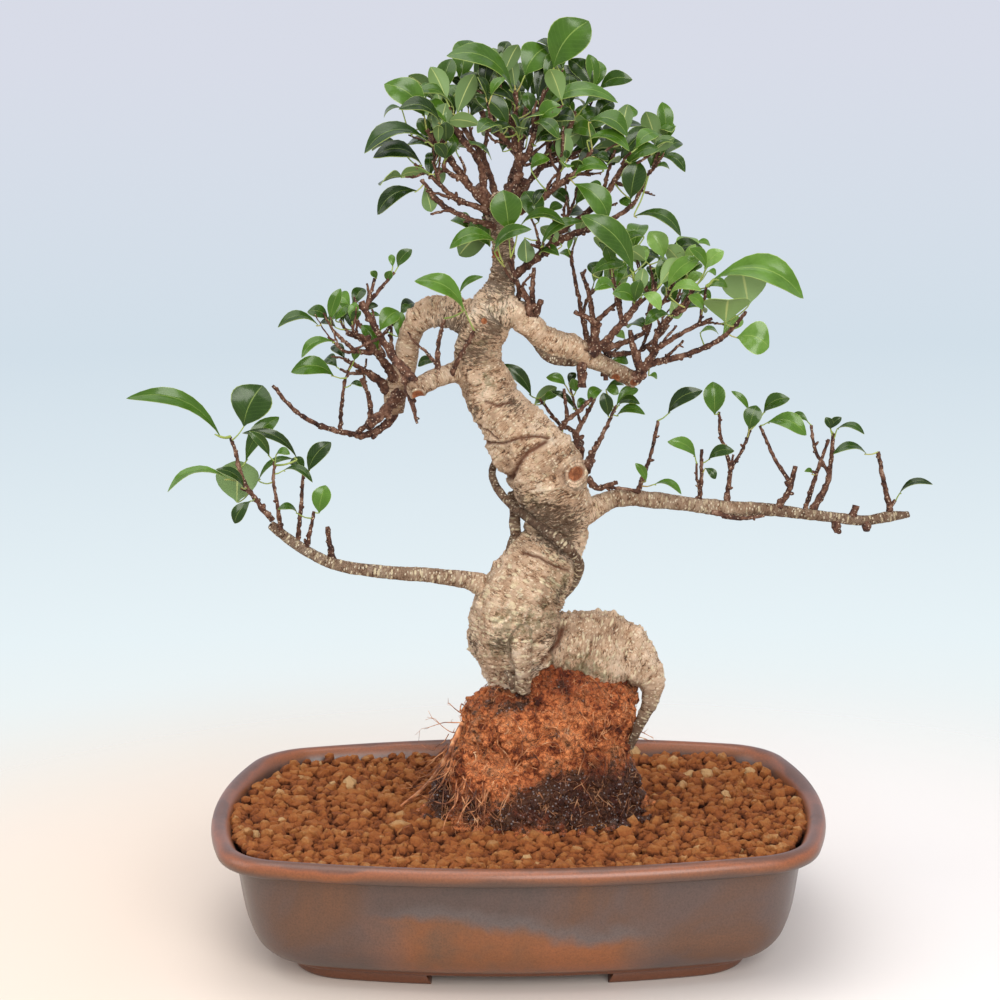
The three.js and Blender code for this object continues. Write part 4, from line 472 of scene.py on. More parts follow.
def spread(pitch, inset):
    """Places on a shaken grid inside the pot's wall and outside the root ball."""
    across, deep = np.arange(-170, 171, pitch), np.arange(-128, 129, pitch)
    grid = np.stack(np.meshgrid(across, deep), axis=-1)
    grid[1::2, :, 0] += pitch / 2
    grid = grid.reshape(-1, 2) + random.uniform(-0.36 * pitch, 0.36 * pitch, (grid[..., 0].size, 2))
    from_ball = (grid - (ball_x, ball_y)) / (ball_half_x - 2, ball_half_y - 2)
    clear = from_ball[:, 0] ** 2 + from_ball[:, 1] ** 2 > 1
    return grid[inside(grid, pot_outline(inset)) & clear]


# The granules of the top layer, larger ones under them, and a row that leans on the wall in front.
top, under = spread(pitch=5.4, inset=15.5), spread(pitch=7.5, inset=20.5)
at_wall = np.array(pot_outline(14.4, (18, 9, 24)))
at_wall = at_wall[at_wall[:, 1] < 10]
sizes = np.concatenate([
    random.triangular(3.8, 6.0, 9.6, len(top)), random.uniform(6, 9, len(under)),
    random.uniform(4.5, 7.5, len(at_wall))])
places = np.concatenate([top, under, at_wall])
rise = np.concatenate([
    random.uniform(-3.2, 1.0, len(top)), random.uniform(-6, -4, len(under)),
    random.uniform(-0.8, 0.8, len(at_wall))])
heights = soil_height(places[:, 0], places[:, 1]) + rise
usual_brown, tan, tan_above = 0.145, 0.34, 0.985
# Lower granules get darker tones: painted shade for the gaps they sit in.
tones = random.normal(usual_brown, 0.08, len(places)) + 0.06 * (rise + 1)
tones = np.clip(tones + (random.uniform(size=len(places)) > tan_above) * tan, 0, 1)
granules = scatter_lumps("clay_granules", np.column_stack([places, heights]), sizes, tones,
                         dent=0.24, long=1.3, underside_shade=0.31)
bpy.ops.object.shade_flat()

# Baked clay: matt and dusty, rust brown, some granules paler and tan; lower granules and their
# undersides are darker with painted shade. The surface is pitted at about 1 mm.
baked_clay, tree, shader = new_material("baked_clay", Roughness=0.92, Specular_IOR_Level=0.25)
here = add_node(tree, "TexCoord").outputs["Object"]
own_tone = add_node(tree, "Attribute", attribute_name="tone").outputs["Fac"]
pits = add_node(tree, "TexNoise", {
    "Vector": here, "Scale": 430.0, "Detail": 5.0, "Roughness": 0.75})
mottled = add_node(tree, "Math", [pits, 0.5, own_tone], operation="MULTIPLY_ADD")
tone = add_node(tree, "ValToRGB", [mottled], stops=[
    (0.28, "#3a1a0b"), (0.48, "#7c421f"), (0.64, "#9c592b"), (0.82, "#a96d39"), (1.0, "#c39a69")])
grit = add_node(tree, "Bump", {"Height": pits, "Strength": 1.0, "Distance": 0.003})
set_inputs(tree, shader, {"Base Color": tone, "Normal": grit})
granules.data.materials.append(baked_clay)
for piece in (bed, granules):
    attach(piece, "root")
    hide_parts("soil")


# Root ball: years of old peat held by fine roots, lifted out of its last pot and set on the soil.
# It is crumbly, rust orange on its dry faces and dark where water is still drawn up at its foot.
# A row of its outline has a height, the middle's x and y, half the width and half the depth.
ball_rows = [
    (64, 12, 1, 60, 43), (74, 11, 0, 63, 45.5), (82, 10.5, 1, 63, 45), (90, 11, 1, 60.5, 43),
    (100, 12, 1, 56.5, 40), (110, 14, 2, 53, 38), (122, 17, 2, 51, 36), (131, 18.5, 2, 51.5, 36),
    (139, 20, 3, 50.5, 36), (146, 24, 4, 44, 33), (154, 27, 4, 37, 28), (161, 27, 4, 29, 20),
    (165, 25, 4, 14, 9),
]
bpy.ops.object.select_all(action="DESELECT")
bpy.ops.mesh.primitive_circle_add(vertices=48, radius=1, location=(0, 0, 0))
ball = bpy.context.object
ball.name = "root_ball_peat"
height, x, y, half_x, half_y = ball_rows[0]
for vertex in ball.data.vertices:
    vertex.co = place((x + half_x * vertex.co.x, y + half_y * vertex.co.y, height))
bpy.ops.object.mode_set(mode="EDIT")
bpy.ops.mesh.select_all(action="SELECT")
bpy.ops.mesh.edge_face_add()
bpy.ops.mesh.select_all(action="SELECT")
for row, (next_height, next_x, next_y, next_half_x, next_half_y) in zip(ball_rows, ball_rows[1:]):
    height, x, y, half_x, half_y = row
    bpy.ops.mesh.extrude_edges_move(TRANSFORM_OT_translate={
        "value": ((next_x - x) / 1000, (next_y - y) / 1000, (next_height - height) / 1000)})
    bpy.ops.transform.resize(value=(next_half_x / half_x, next_half_y / half_y, 1),
                             center_override=tuple(place((next_x, next_y, next_height))))
bpy.ops.mesh.merge(type="CENTER")
finish_shell(ball, 0)
skin_voxel = 0.0014
shape(ball, "even_skin", "REMESH", mode="VOXEL", voxel_size=skin_voxel)
for name, size, depth in (
        ("lobes", 0.028, 0.009), ("clods", 0.010, 0.0052), ("crumbs", 0.0042, 0.0034)):
    swell = bpy.data.textures.new(name, "CLOUDS")
    swell.noise_scale = size
    swell.noise_depth = 2
    shape(ball, name, "DISPLACE", texture=swell, texture_coords="LOCAL",
          strength=depth, mid_level=0.55)
bpy.ops.object.shade_smooth()

# Peat: rust orange fibres and crumbs, no shine when dry, nearly black and wet-bright at the foot,
# where pale specks are painted glints; darker towards the ball's top with painted shade.
peat, tree, shader = new_material("rust_coloured_peat", Specular_IOR_Level=0.35)
here = add_node(tree, "TexCoord").outputs["Object"]
clods = add_node(tree, "TexNoise", {
    "Vector": here, "Scale": 90.0, "Detail": 5.0, "Roughness": 0.68})
fibres = add_node(tree, "TexNoise", {
    "Vector": here, "Scale": 340.0, "Detail": 6.0, "Roughness": 0.85, "Distortion": 2.2})
dry = add_node(tree, "ValToRGB", [clods], stops=[
    (0.32, "#4a2010"), (0.41, "#964f2a"), (0.5, "#e8945c"), (0.62, "#fdb780"), (0.8, "#ffcf9f")])
streaks = add_node(tree, "ValToRGB", [fibres], stops=[
    (0.4, "#2a150d"), (0.47, "#a8795c"), (0.53, "#fff0dc")])
dry_fibred = add_node(tree, "MixRGB", [0.8, dry, streaks], blend_type="MULTIPLY")
broken = add_node(tree, "Math", [fibres, 1.9, clods], operation="MULTIPLY_ADD")
clots = add_node(tree, "Math", [clods, 1.2, broken], operation="MULTIPLY_ADD")
marked = add_node(tree, "Attribute", attribute_name="damp").outputs["Fac"]
damp_at = add_node(tree, "Math", [marked, 0.6, clots], operation="MULTIPLY_ADD")
damp = add_node(tree, "MapRange", [damp_at, 2.24, 2.44, 0.0, 0.92], interpolation_type="SMOOTHSTEP")
# Darker towards the ball's top: painted shade.
height = add_node(tree, "SeparateXYZ", [here]).outputs["Z"]
shaded = add_node(tree, "MapRange", [height, 0.134, 0.156, 0.0, 0.8])
peat_top_shaded = add_node(tree, "MixRGB", [shaded, dry_fibred, "#b08d78"], blend_type="MULTIPLY")
peat_tone = add_node(tree, "MixRGB", [damp, peat_top_shaded, "#24120c"])
# Pale specks in the wet places: painted glints.
wet_glints = add_node(tree, "TexVoronoi", {"Vector": here, "Scale": 420.0, "Randomness": 1.0})
glint_core = add_node(tree, "MapRange", [wet_glints, 0.27, 0.16, 0.0, 0.85])
glint_share = add_node(tree, "Math", [glint_core, damp], operation="MULTIPLY")
peat_tone = add_node(tree, "MixRGB", [glint_share, peat_tone, "#9a908c"])
wet = add_node(tree, "MapRange", [damp, 0.0, 0.85, 0.95, 0.16])
rough = add_node(tree, "Math", [fibres, 0.6, clods], operation="MULTIPLY_ADD")
crumble = add_node(tree, "Bump", {"Height": rough, "Strength": 1.0, "Distance": 0.0022})
set_inputs(tree, shader, {"Base Color": peat_tone, "Roughness": wet, "Normal": crumble})
ball.data.materials.append(peat)

# Places where the peat is still dark and wet: x, y, z and reach. They go round the back as well.
wet_places = [
    (32, -38, 82, 19), (54, -34, 94, 15), (8, -40, 88, 12), (46, -36, 108, 8), (-26, -34, 84, 10),
    (-46, -10, 92, 12), (66, -12, 96, 12), (-40, 16, 88, 18), (-8, 40, 88, 18), (28, 42, 90, 18),
    (60, 20, 90, 16), (2, -30, 152, 9), (-16, -26, 150, 9), (-50, -24, 84, 13), (-30, -14, 150, 9),
    (26, -28, 158, 7), (24, -38, 98, 8), (-8, -42, 78, 9), (72, -12, 78, 14), (64, -28, 76, 13),
]


def points_of(piece, kind="co"):
    """A piece's points in millimetres from the pot's middle, or their normals."""
    values = np.zeros(len(piece.data.vertices) * 3)
    piece.data.vertices.foreach_get(kind, values)
    rows = values.reshape(-1, 3)
    return (rows - pot_middle) * 1000 if kind == "co" else rows


def nearness(points, spots):
    """How near each point is to spots of x, y, z and reach: about 1 at a spot, 0 far from all."""
    return sum(np.exp(-(np.linalg.norm(points - np.array(spot[:3]), axis=1) / spot[3]) ** 2)
               for spot in spots)


def mark_wet(piece, most=1.0):
    """Marks how wet the peat is at each point of a piece, at most so wet."""
    mark(piece.data, "damp", np.clip(nearness(points_of(piece), wet_places) * most, 0, most))


mark_wet(ball)

# Crumbs of the same peat, which broke off as the ball was moved: they cling to it or lie round its
# foot.
clinging, lying, lying_height = 2600, 260, soil_level + 3.4
lying_half_x, lying_half_y = 57, 43
skin_points, skin_normals = points_of(ball), points_of(ball, "normal")
chosen = random.choice(len(skin_points), clinging, replace=False)
middles = skin_points[chosen] + skin_normals[chosen] * random.uniform(-0.6, 0.7, (clinging, 1))
fallen_turn = random.uniform(0, 2 * math.pi, lying)
fallen_far = random.uniform(1.0, 1.25, lying)
fallen = np.column_stack([
    ball_x + lying_half_x * fallen_far * np.cos(fallen_turn),
    ball_y + lying_half_y * fallen_far * np.sin(fallen_turn), np.full(lying, lying_height)])
middles = np.concatenate([middles, fallen])
crumb_sizes = random.triangular(1.4, 2.4, 5.4, len(middles))
crumbs = scatter_lumps("peat_crumbs", middles, crumb_sizes, random.uniform(0, 1, len(middles)),
                       dent=0.22, long=1.5)
crumbs.data.materials.append(peat)
mark_wet(crumbs)


def smooth_line(points, step):
    """Rows of x, y, z, radius along a smooth curve through such points, about a step apart."""
    rows = [np.array(point, float) for point in points]
    rows = [2 * rows[0] - rows[1], *rows, 2 * rows[-1] - rows[-2]]
    line = []
    for before, start, end, after in zip(rows, rows[1:], rows[2:], rows[3:]):
        first, middle, last = [max(np.linalg.norm((b - a)[:3]), 0.01) ** 0.5
                               for a, b in ((before, start), (start, end), (end, after))]
        span = (end - start) / middle
        leave = (start - before) / first - (end - before) / (first + middle) + span
        arrive = span - (after - start) / (middle + last) + (after - end) / last
        leave, arrive = leave * middle, arrive * middle
        count = max(1, round(np.linalg.norm((end - start)[:3]) / step))
        for t in np.arange(count) / count:
            row = ((2 * t ** 3 - 3 * t ** 2 + 1) * start + (t ** 3 - 2 * t ** 2 + t) * leave
                   + (3 * t ** 2 - 2 * t ** 3) * end + (t ** 3 - t ** 2) * arrive)
            row[3] = start[3] * (1 - t) + end[3] * t
            line.append(row)
    return np.array(line + [rows[-2]])


def round_wood(name, lines, sides):
    """Round stems along lines of x, y, z and radius: a bevelled curve turned into a mesh."""
    stems = bpy.data.curves.new(name, "CURVE")
    stems.dimensions = "3D"
    stems.bevel_depth = 0.001
    stems.bevel_resolution = sides // 2 - 2
    stems.use_fill_caps = True
    for line in lines:
        spline = stems.splines.new("POLY")
        spline.points.add(len(line) - 1)
        places = np.column_stack([line[:, :3] / 1000 + pot_middle, np.ones(len(line))])
        spline.points.foreach_set("co", places.ravel())
        spline.points.foreach_set("radius", line[:, 3].copy())
    wood = new_piece(name, stems)
    bpy.ops.object.convert(target="MESH")
    bpy.ops.object.shade_smooth()
    return wood


# Fine roots: pale and rust threads that grew down and round the ball and hold its peat together. A
# few hang free or reach out over the soil.
stray_root = [
    (-32, -4, 127, 1.6), (-36, -12, 121, 1.5), (-40, -14, 112, 1.3), (-45, -12, 103, 1.2),
    (-53, -9, 92, 1.1), (-61, -6, 84, 0.9), (-69, -2, 77, 0.7),
]
stray_thicker, thread_step, roots_above, fork_chance = 1.35, 2.4, 76, 0.45
threads = [smooth_line(stray_root, 4) * (1, 1, 1, stray_thicker)]
clear_of_soil = skin_points[:, 2] > roots_above
surface, surface_normals = skin_points[clear_of_soil], skin_normals[clear_of_soil]


def creeping_root(start, heading, steps, stride, thick, lift, pull):
    """A thread that creeps over the ball from a point of its skin, drawn down by its pull."""
    walk = [surface[start] + surface_normals[start] * lift]
    for _ in range(steps):
        guess = walk[-1] + heading / np.linalg.norm(heading) * stride * random.uniform(0.7, 1.4)
        nearest = np.argmin(np.sum((surface - guess) ** 2, axis=1))
        above = surface_normals[nearest] * random.uniform(0.2, 1.2) * lift
        walk.append(surface[nearest] * 0.75 + guess * 0.25 + above)
        heading = heading / np.linalg.norm(heading) + random.normal(0, 0.42, 3)
        heading = heading + np.array([0, 0, -pull])
    return smooth_line([(*point, thick * (1 - 0.6 * index / len(walk)))
                        for index, point in enumerate(walk)], thread_step)


def hanging_root(start, aim, length, thick):
    """A branched root that leaves the ball and hangs or reaches out from it."""
    point, aim = np.array(start, float), np.array(aim, float) / np.linalg.norm(aim)
    rows = [(*point, thick)]
    for share in np.linspace(0.2, 1, 5):
        aim = aim + random.normal(0, 0.22, 3)
        point = point + aim / np.linalg.norm(aim) * length / 5
        rows.append((*point, thick * (1 - 0.7 * share)))
        if random.uniform() < fork_chance:
            twist = aim + random.normal(0, 0.6, 3)
            end = point + twist / np.linalg.norm(twist) * length * random.uniform(0.15, 0.4)
            bend = (point + end) / 2 + random.normal(0, 0.7, 3)
            fork = [rows[-1], (*bend, thick * 0.35), (*end, thick * 0.2)]
            threads.append(smooth_line(fork, thread_step))
    threads.append(smooth_line(rows, thread_step))


short_hairs, long_threads, fan_roots, left_roots = 1900, 90, 26, 24
for _ in range(short_hairs):
    start = random.integers(len(surface))
    heading = np.cross(surface_normals[start], random.normal(size=3)) + np.array([0, 0, -0.3])
    threads.append(creeping_root(
        start, heading, 2, stride=3.2, thick=random.uniform(0.12, 0.26), lift=1.0, pull=0.2))
for _ in range(long_threads):
    start = random.integers(len(surface))
    heading = np.cross(surface_normals[start], random.normal(size=3)) + np.array([0, 0, -0.8])
    steps = random.integers(4, 8)
    threads.append(creeping_root(
        start, heading, steps, stride=4.5, thick=random.uniform(0.25, 0.5), lift=1.5, pull=0.35))
# The fan of roots low on the left, the threads that stick out at both sides, and those at the top.
for _ in range(fan_roots):
    hanging_root((random.uniform(-36, -4), random.uniform(-41, -35), random.uniform(90, 106)),
                 (random.uniform(-0.5, 0.15), -0.5, -1.1),
                 random.uniform(16, 30), random.uniform(0.3, 0.55))
for _ in range(left_roots):
    hanging_root((random.uniform(-42, -34), random.uniform(-26, 8), random.uniform(98, 118)),
                 (random.uniform(-0.7, -0.3), random.uniform(-0.4, 0.1), -1),
                 random.uniform(18, 34), random.uniform(0.22, 0.5))
for start, aim, length in (
        ((-33, -4, 128), (-1, -0.1, -0.1), 24), ((-33, -6, 124), (-1, 0, -0.7), 26),
        ((-32, 0, 132), (-1, 0.2, 0.3), 15), ((-34, -2, 120), (-0.8, -0.2, -1), 22),
        ((70, -4, 122), (1, -0.1, 0.1), 11), ((69, 0, 116), (1, 0, 0.45), 16),
        ((-10, -8, 151), (-1, -0.2, 0.5), 13), ((-8, -4, 155), (-1, 0, 0.15), 12),
        ((-9, -14, 152), (-0.9, -0.5, 0.1), 13), ((-20, 26, 120), (-0.6, 1, -0.4), 20),
        ((50, 30, 116), (0.6, 1, -0.5), 20), ((20, 40, 100), (0, 1, -0.9), 22)):
    hanging_root(start, aim, length, 0.36)
roots = round_wood("fine_roots", threads, 4)
mark_wet(roots, 0.45)
root_skin, tree, shader = new_material("fine_root_skin", Roughness=0.7)
here = add_node(tree, "TexCoord").outputs["Object"]
blotch = add_node(tree, "TexNoise", {"Vector": here, "Scale": 170.0, "Detail": 3.0})
tone = add_node(tree, "ValToRGB", [blotch], stops=[
    (0.33, "#3a1d11"), (0.43, "#7a4425"), (0.54, "#b87344"), (0.66, "#d49b6b"), (0.8, "#e6c9a0")])
marked = add_node(tree, "Attribute", attribute_name="damp").outputs["Fac"]
wet_root = add_node(tree, "MixRGB", [marked, tone, "#38200f"])
set_inputs(tree, shader, {"Base Color": wet_root})
roots.data.materials.append(root_skin)
for piece in (ball, crumbs, roots):
    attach(piece, "root")
    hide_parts("root_ball")


# Trunk: one grown piece of ficus wood with its surface roots and heavy limbs, shaped by wire and
# pruning. The bark is thin, grey tan, with rows of pale dashes across it and swollen healed cuts.
trunk_line = [
    (0, 4, 144, 10.6), (-1, 2, 157, 17), (-1, 0, 170, 25.2), (-1, -2, 186, 27.1),
    (1, -3, 199, 25.6), (8, -1, 211, 22), (16, 2, 222, 21.2), (23, 6, 233, 17.4),
    (24, 6, 245, 17.8), (24, 3, 259, 19.7), (20, -1, 271, 22.2), (15, -4, 283, 21.9),
    (5, -3, 294, 19.3), (-5, 0, 306, 16.4), (-12, 2, 316, 15), (-16, 3, 327, 15),
    (-20, 3, 338, 13.8), (-20, 2, 349, 13.2), (-16, 0, 360, 13.1), (-11, 0, 371, 11.4),
    (-7, 2, 381, 8), (-5, 3, 392, 6.3), (-5, 4, 404, 5.7), (-6, 4, 416, 5.7), (-8, 4, 426, 7.4),
    (-10, 4, 434, 6.8),
]

right_root = [
    (17, 2, 176, 15.2), (35, 2, 173, 19.3), (51, 2, 169, 22), (65, 0, 166, 18.1),
    (74, -2, 159, 11.7), (79, -4, 150, 7), (78, -5, 141, 5.3), (74, -5, 131, 3.8),
    (70, -5, 122, 2.9), (66, -3, 111, 2.4),
]

heavy_limbs = {
    "scar_stub": [(24, 0, 275, 11), (30, -10, 276, 10.5), (33.5, -15, 277, 9)],
    "low_left": [
        (-6, -6, 203, 9.3), (-16, -8, 209, 7.5), (-28, -9, 214, 5.2), (-39, -10, 216, 4.4),
        (-53, -11, 218, 4.3), (-67, -12, 219, 4), (-82, -13, 221, 3.7), (-95, -14, 223, 3.5),
        (-108, -15, 227, 3.4), (-119, -16, 233, 3.2), (-130, -17, 241, 3.1), (-140, -18, 250, 2.6),
    ],
    "low_right": [
        (35, 6, 251, 10.5), (45, 9, 253, 7), (54, 11, 257, 5.5), (64, 12, 258, 5),
        (83, 14, 256, 4.6), (104, 16, 253, 4.3), (126, 18, 250, 4.8), (147, 20, 249, 4),
        (169, 22, 246, 3.4), (190, 24, 243, 3.2), (207, 25, 241, 3.1), (220, 26, 243, 3.2),
        (233, 27, 244, 2.1),
    ],
    "right_limb": [
        (-10, -2, 369, 10.8), (1, -4, 368, 8.5), (8, -5, 362, 7.1), (16, -4, 355, 6.8),
        (24, -2, 350, 7.7), (34, 0, 347, 7.7), (43, 2, 342, 6.6), (52, 4, 337, 4.9),
        (61, 6, 332, 4.8), (71, 8, 327, 5.4),
    ],
    "left_arch": [
        (-19, 3, 361, 11.5), (-29, 6, 366, 9.8), (-39, 9, 368, 9.5), (-48, 12, 367, 8.6),
        (-56, 15, 361, 7.2), (-60, 17, 352, 6.4), (-62, 18, 342, 6.7), (-65, 18, 331, 7),
        (-69, 17, 322, 7), (-70, 16, 314, 6.1), (-69, 16, 308, 4.7),
    ],
    "left_stub": [
        (-26, 4, 335, 7.4), (-35, -2, 334, 6.2), (-44, -10, 332, 5.8), (-53, -17, 328, 5.4),
        (-58, -21, 326, 4.8),
    ],
    "front_root": [
        (4, -22, 192, 5.7), (3, -27, 183, 6.3), (3, -29, 171, 6), (4, -29, 162, 4.9),
        (4, -27, 151, 3.5),
    ],
    "wrap": [
        (-8, 14, 285, 2.1), (-13, 8, 276, 2.4), (-11, 0, 268, 2.5), (-3, -9, 259, 2.6),
        (10, -14, 249, 2.7), (21, -20, 242, 2.8), (30, -21, 234.5, 2.9), (36, -16, 226, 2.9),
        (36.5, -9, 219, 2.9), (33.5, -4, 211, 2.8), (27, -2, 203, 2.7), (20, 0, 198, 2.4),
    ],
    "back_root": [
        (-2, 8, 263, 2.6), (0, 4, 254, 3.2), (0, 2, 243, 3.3), (2, 0, 231, 3.2), (4, 0, 224, 2.9),
    ],
    "back_fork": [(0, 2, 241, 1.7), (-3, 0, 235, 1.5), (-5, -2, 227, 1.4), (-4, -2, 221, 1.4)],
    "small_root": [
        (-8, -20, 164, 1.7), (-4, -26, 162, 1.7), (-3, -28, 157, 1.6), (-2, -27, 151, 1.4),
    ],
    "loop": [
        (13, -2, 353, 3.4), (16, -4, 346, 2.3), (20, -5, 342, 2.4), (28, -4, 340, 2.6),
        (35, 0, 340, 3.4),
    ],
}

light_limbs = {
    "stub_down": [(40, 0, 343, 4.6), (39, -2, 335, 3.7), (39, -3, 325, 3)],
    "stub_low": [(52, 6, 335, 2.3), (53, 4, 328, 1.7)],
    "crown_left": [(-11, 2, 426, 5.1), (-15, 0, 433, 4.5), (-19, -2, 440, 3.4)],
    "crown_mid": [(-7, 4, 429, 5.1), (0, 2, 436, 4.5), (8, 0, 443, 3.7)],
    "crown_right": [
        (-4, 4, 385, 4), (4, 2, 391, 3.2), (11, -1, 397, 3), (20, -4, 404, 2.8), (29, -6, 410, 2.7),
        (39, -6, 414, 2.5), (50, -4, 417, 2.3), (59, -2, 422, 1.9), (67, 0, 427, 1.6),
        (73, 3, 436, 1.2), (78, 5, 446, 1.1),
    ],
    "crown_a": [(-9, 0, 417, 2.9), (-18, -3, 420, 1.7), (-26, -6, 422, 1.4)],
    "crown_b": [(-11, 0, 425, 4.3), (-19, -3, 428, 2.4), (-28, -6, 431, 1.6)],
    "crown_c": [(-11, 0, 428, 5), (-18, -2, 433, 3), (-25, -6, 441, 2.2)],
    "crown_d": [(-9, 0, 428, 5), (-15, -2, 435, 3), (-16, -3, 442, 2.2)],
    "crown_e": [(-8, 2, 428, 4.3), (-10, 8, 437, 2.8), (-12, 12, 445, 1.9)],
    "crown_g": [(-7, 0, 427, 5.8), (-1, -3, 435, 3.4), (4, -4, 445, 2.4)],
    "crown_i": [(-7, 4, 428, 5), (-2, 12, 438, 3), (1, 18, 447, 2)],
    "crown_l": [(-6, 2, 427, 5), (5, 4, 436, 3), (13, 8, 445, 1.9)],
    "crown_k": [(-5, -2, 424, 4.3), (6, -6, 426, 2.4), (15, -9, 431, 1.8)],
    "crown_m": [(18, -2, 401, 3.3), (27, 2, 413, 2), (41, 4, 423, 1.7)],
    "stub_1": [(12, -6, 363, 3.4), (11, -7, 376, 2), (12, -8, 394, 1.4)],
    "stub_2": [(10, -8, 365, 3), (8, -11, 376, 2.3), (5, -13, 383, 1.9)],
    "stub_3": [(12, -8, 365, 2.6), (16, -10, 376, 2.1)],
    "hub": [(44, 0, 346, 4.5), (47, -2, 355, 3), (48, -3, 362, 2.4)],
    "riser": [(45, -4, 345, 4.5), (53, -8, 352, 3), (62, -10, 363, 2.2)],
    "riser_b": [(51, 4, 346, 3), (65, 6, 350, 2), (76, 8, 355, 1.6)],
    "tip_riser": [(69, 6, 328, 5.6), (76, 5, 336, 3.6), (82, 4, 345, 2.8)],
    "tip_fork": [(73, 6, 334, 3.7), (69, 4, 346, 2.4), (67, 2, 357, 1.7)],
    "bare_1": [(49, -4, 360, 2.6), (43, -8, 365, 1.9), (35, -12, 369, 1.6)],
    "bare_2": [(46, -2, 354, 2.6), (44, -4, 375, 1.8), (39, -6, 391, 1.4)],
    "mass": [(-67, 14, 326, 4.5), (-75, 8, 340, 3.1), (-81, 2, 348, 2.6)],
    "mass_low": [(-69, 16, 316, 5), (-76, 14, 326, 3.6), (-84, 10, 333, 2.8)],
    "main_red": [(-53, -18, 328, 4.2), (-62, -13, 337, 3.6), (-70, -9, 346, 3.1)],
    "mass_back": [(-67, 20, 332, 3), (-71, 24, 347, 1.6), (-71, 24, 358, 1.2)],
    "spike": [(-62, -12, 334, 3.4), (-58, -16, 319, 2.3), (-55, -18, 307, 0.9)],
    "low_branch": [
        (-69, 16, 313, 5), (-72, 14, 305, 3.3), (-80, 12, 299, 2.9), (-90, 10, 296, 2.5),
    ],
    "wl_stub": [(-105, -12, 226, 3), (-107, -12, 238, 1.9), (-108, -12, 247, 1.8)],
    "burr_1": [(189, 24, 241, 4.2), (190, 23, 234, 2.4)],
    "burr_2": [(199, 24, 244, 3.6), (201, 24, 250, 2.4)],
    "burr_3": [(207, 25, 241, 3.6), (207, 22, 235, 3.2)],
    "under_spur": [(115, 14, 249, 2.4), (130, 13, 245, 1.6), (146, 15, 246, 1.2)],
    "back_pillar": [(37, 6, 286, 4.6), (37, 14, 292, 3), (35, 18, 296, 2.1)],
    "bare_3": [(21, 4, 296, 2.4), (30, 8, 304, 1.8), (30, 8, 313, 1.3), (29, 8, 323, 1.1)],
    "low_stub": [(-65, 10, 322, 5), (-74, 6, 312, 3.8), (-84, 2, 303, 3.2)],
    "bare_4": [(28, 6, 303, 1.8), (37, 4, 310, 1.7), (45, 2, 318, 1.5)],
    "bare_5": [(48, -3, 363, 2), (55, -6, 370, 1.5), (61, -8, 375, 1.2)],
    "side_shoot": [(42, -2, 272, 3), (48, -2, 266, 2.2), (53, -4, 268, 1.8), (59, -6, 270, 1.6)],
    "side_thread": [(51, -3, 267, 1.6), (62, 3, 265, 1.1), (73, 9, 262, 1.6)],
    "back_pillar_2": [(41, 8, 275, 5), (44, 15, 281, 2.9)],
}

wood_lines = [smooth_line(line, 2) for line in (trunk_line, right_root, *heavy_limbs.values())]
bark_voxel = 0.00101
trunk = round_wood("ficus_trunk", wood_lines, 20)
shape(trunk, "grown_together", "REMESH", mode="VOXEL", voxel_size=bark_voxel)

# For every point of the bark: how far along its limb it lies and which way round it faces.
rows, along, side_a, side_b = [], [], [], []
for line in wood_lines:
    steps = np.linalg.norm(np.diff(line[:, :3], axis=0), axis=1)
    tangent = np.gradient(line[:, :3], axis=0)
    tangent /= np.linalg.norm(tangent, axis=1)[:, None]
    aside = np.cross(tangent[0], (0.1, 1, 0.2))
    for point, direction, far in zip(line, tangent, np.concatenate([[0], np.cumsum(steps)])):
        aside = aside - direction * (aside @ direction)
        aside /= np.linalg.norm(aside)
        rows.append(point)
        along.append(far)
        side_a.append(aside)
        side_b.append(np.cross(direction, aside))
rows, along, side_a, side_b = map(np.array, (rows, along, side_a, side_b))

bark_points, batches = points_of(trunk), 80
owner = np.concatenate([
    np.argmin(np.linalg.norm(part[:, None] - rows[None, :, :3], axis=2) - rows[None, :, 3], axis=1)
    for part in np.array_split(bark_points, batches)])
reach = rows[owner, 3]

# The forks of old wood have long since grown over, so they are eased, the thick ones most.
forks = trunk.vertex_groups.new(name="forks")
ease_level = np.round(np.clip((reach - 3.5) / 9, 0.12, 1) * 10).astype(int)
for level in range(1, 11):
    forks.add(np.flatnonzero(ease_level == level).tolist(), level / 10, "REPLACE")
shape(trunk, "eased_forks", "SMOOTH", factor=0.6, iterations=22, vertex_group=forks.name)
trunk.vertex_groups.clear()
bark_points, bark_normals = points_of(trunk), points_of(trunk, "normal")
outward = bark_points - rows[owner, :3]
turn = np.arctan2(np.sum(outward * side_b[owner], axis=1), np.sum(outward * side_a[owner], axis=1))
far = along[owner] + np.sum(outward * np.cross(side_a[owner], side_b[owner]), axis=1)
grain = np.column_stack([reach * np.cos(turn), reach * np.sin(turn), far])


def uneven(points, scale, octaves):
    """Natural unevenness, about -1 to 1, for rows of points."""
    evenness, step_in_size = 0.75, 2.1
    return np.array([noise.fractal(point, evenness, step_in_size, octaves)
                     for point in (points * scale).tolist()])


# Flutes and lumps of old wood, folds that run round it like those of a sleeve, scales on the neck.
height, neck_from, foot_below = bark_points[:, 2], 352, 225
heavy = np.clip(reach / 20, 0.05, 1)
neck = np.clip((height - neck_from) / 16, 0, 1) * np.clip((reach - 3) / 4, 0, 1)
folds = uneven(grain + 40, np.array([0.07, 0.07, 0.24]), 4)
scales = 0.5 - np.abs(uneven(grain - 70, np.array([0.19, 0.19, 0.27]), 3))
lumps = uneven(bark_points, 0.055, 3)
warts = np.clip(uneven(grain + 9, np.array([0.2, 0.2, 0.42]), 2) - 0.12, 0, 1)
low = np.clip((foot_below - height) / 25, 0, 1)
push = reach * (0.04 * np.sin(3 * turn + height * 0.05) + 0.025 * np.sin(5 * turn - height * 0.13))
push += heavy * (2.2 * lumps + 1.2 * folds + (1.3 + 0.9 * low) * warts)
push += neck * (1.9 * scales + 0.9 * folds)
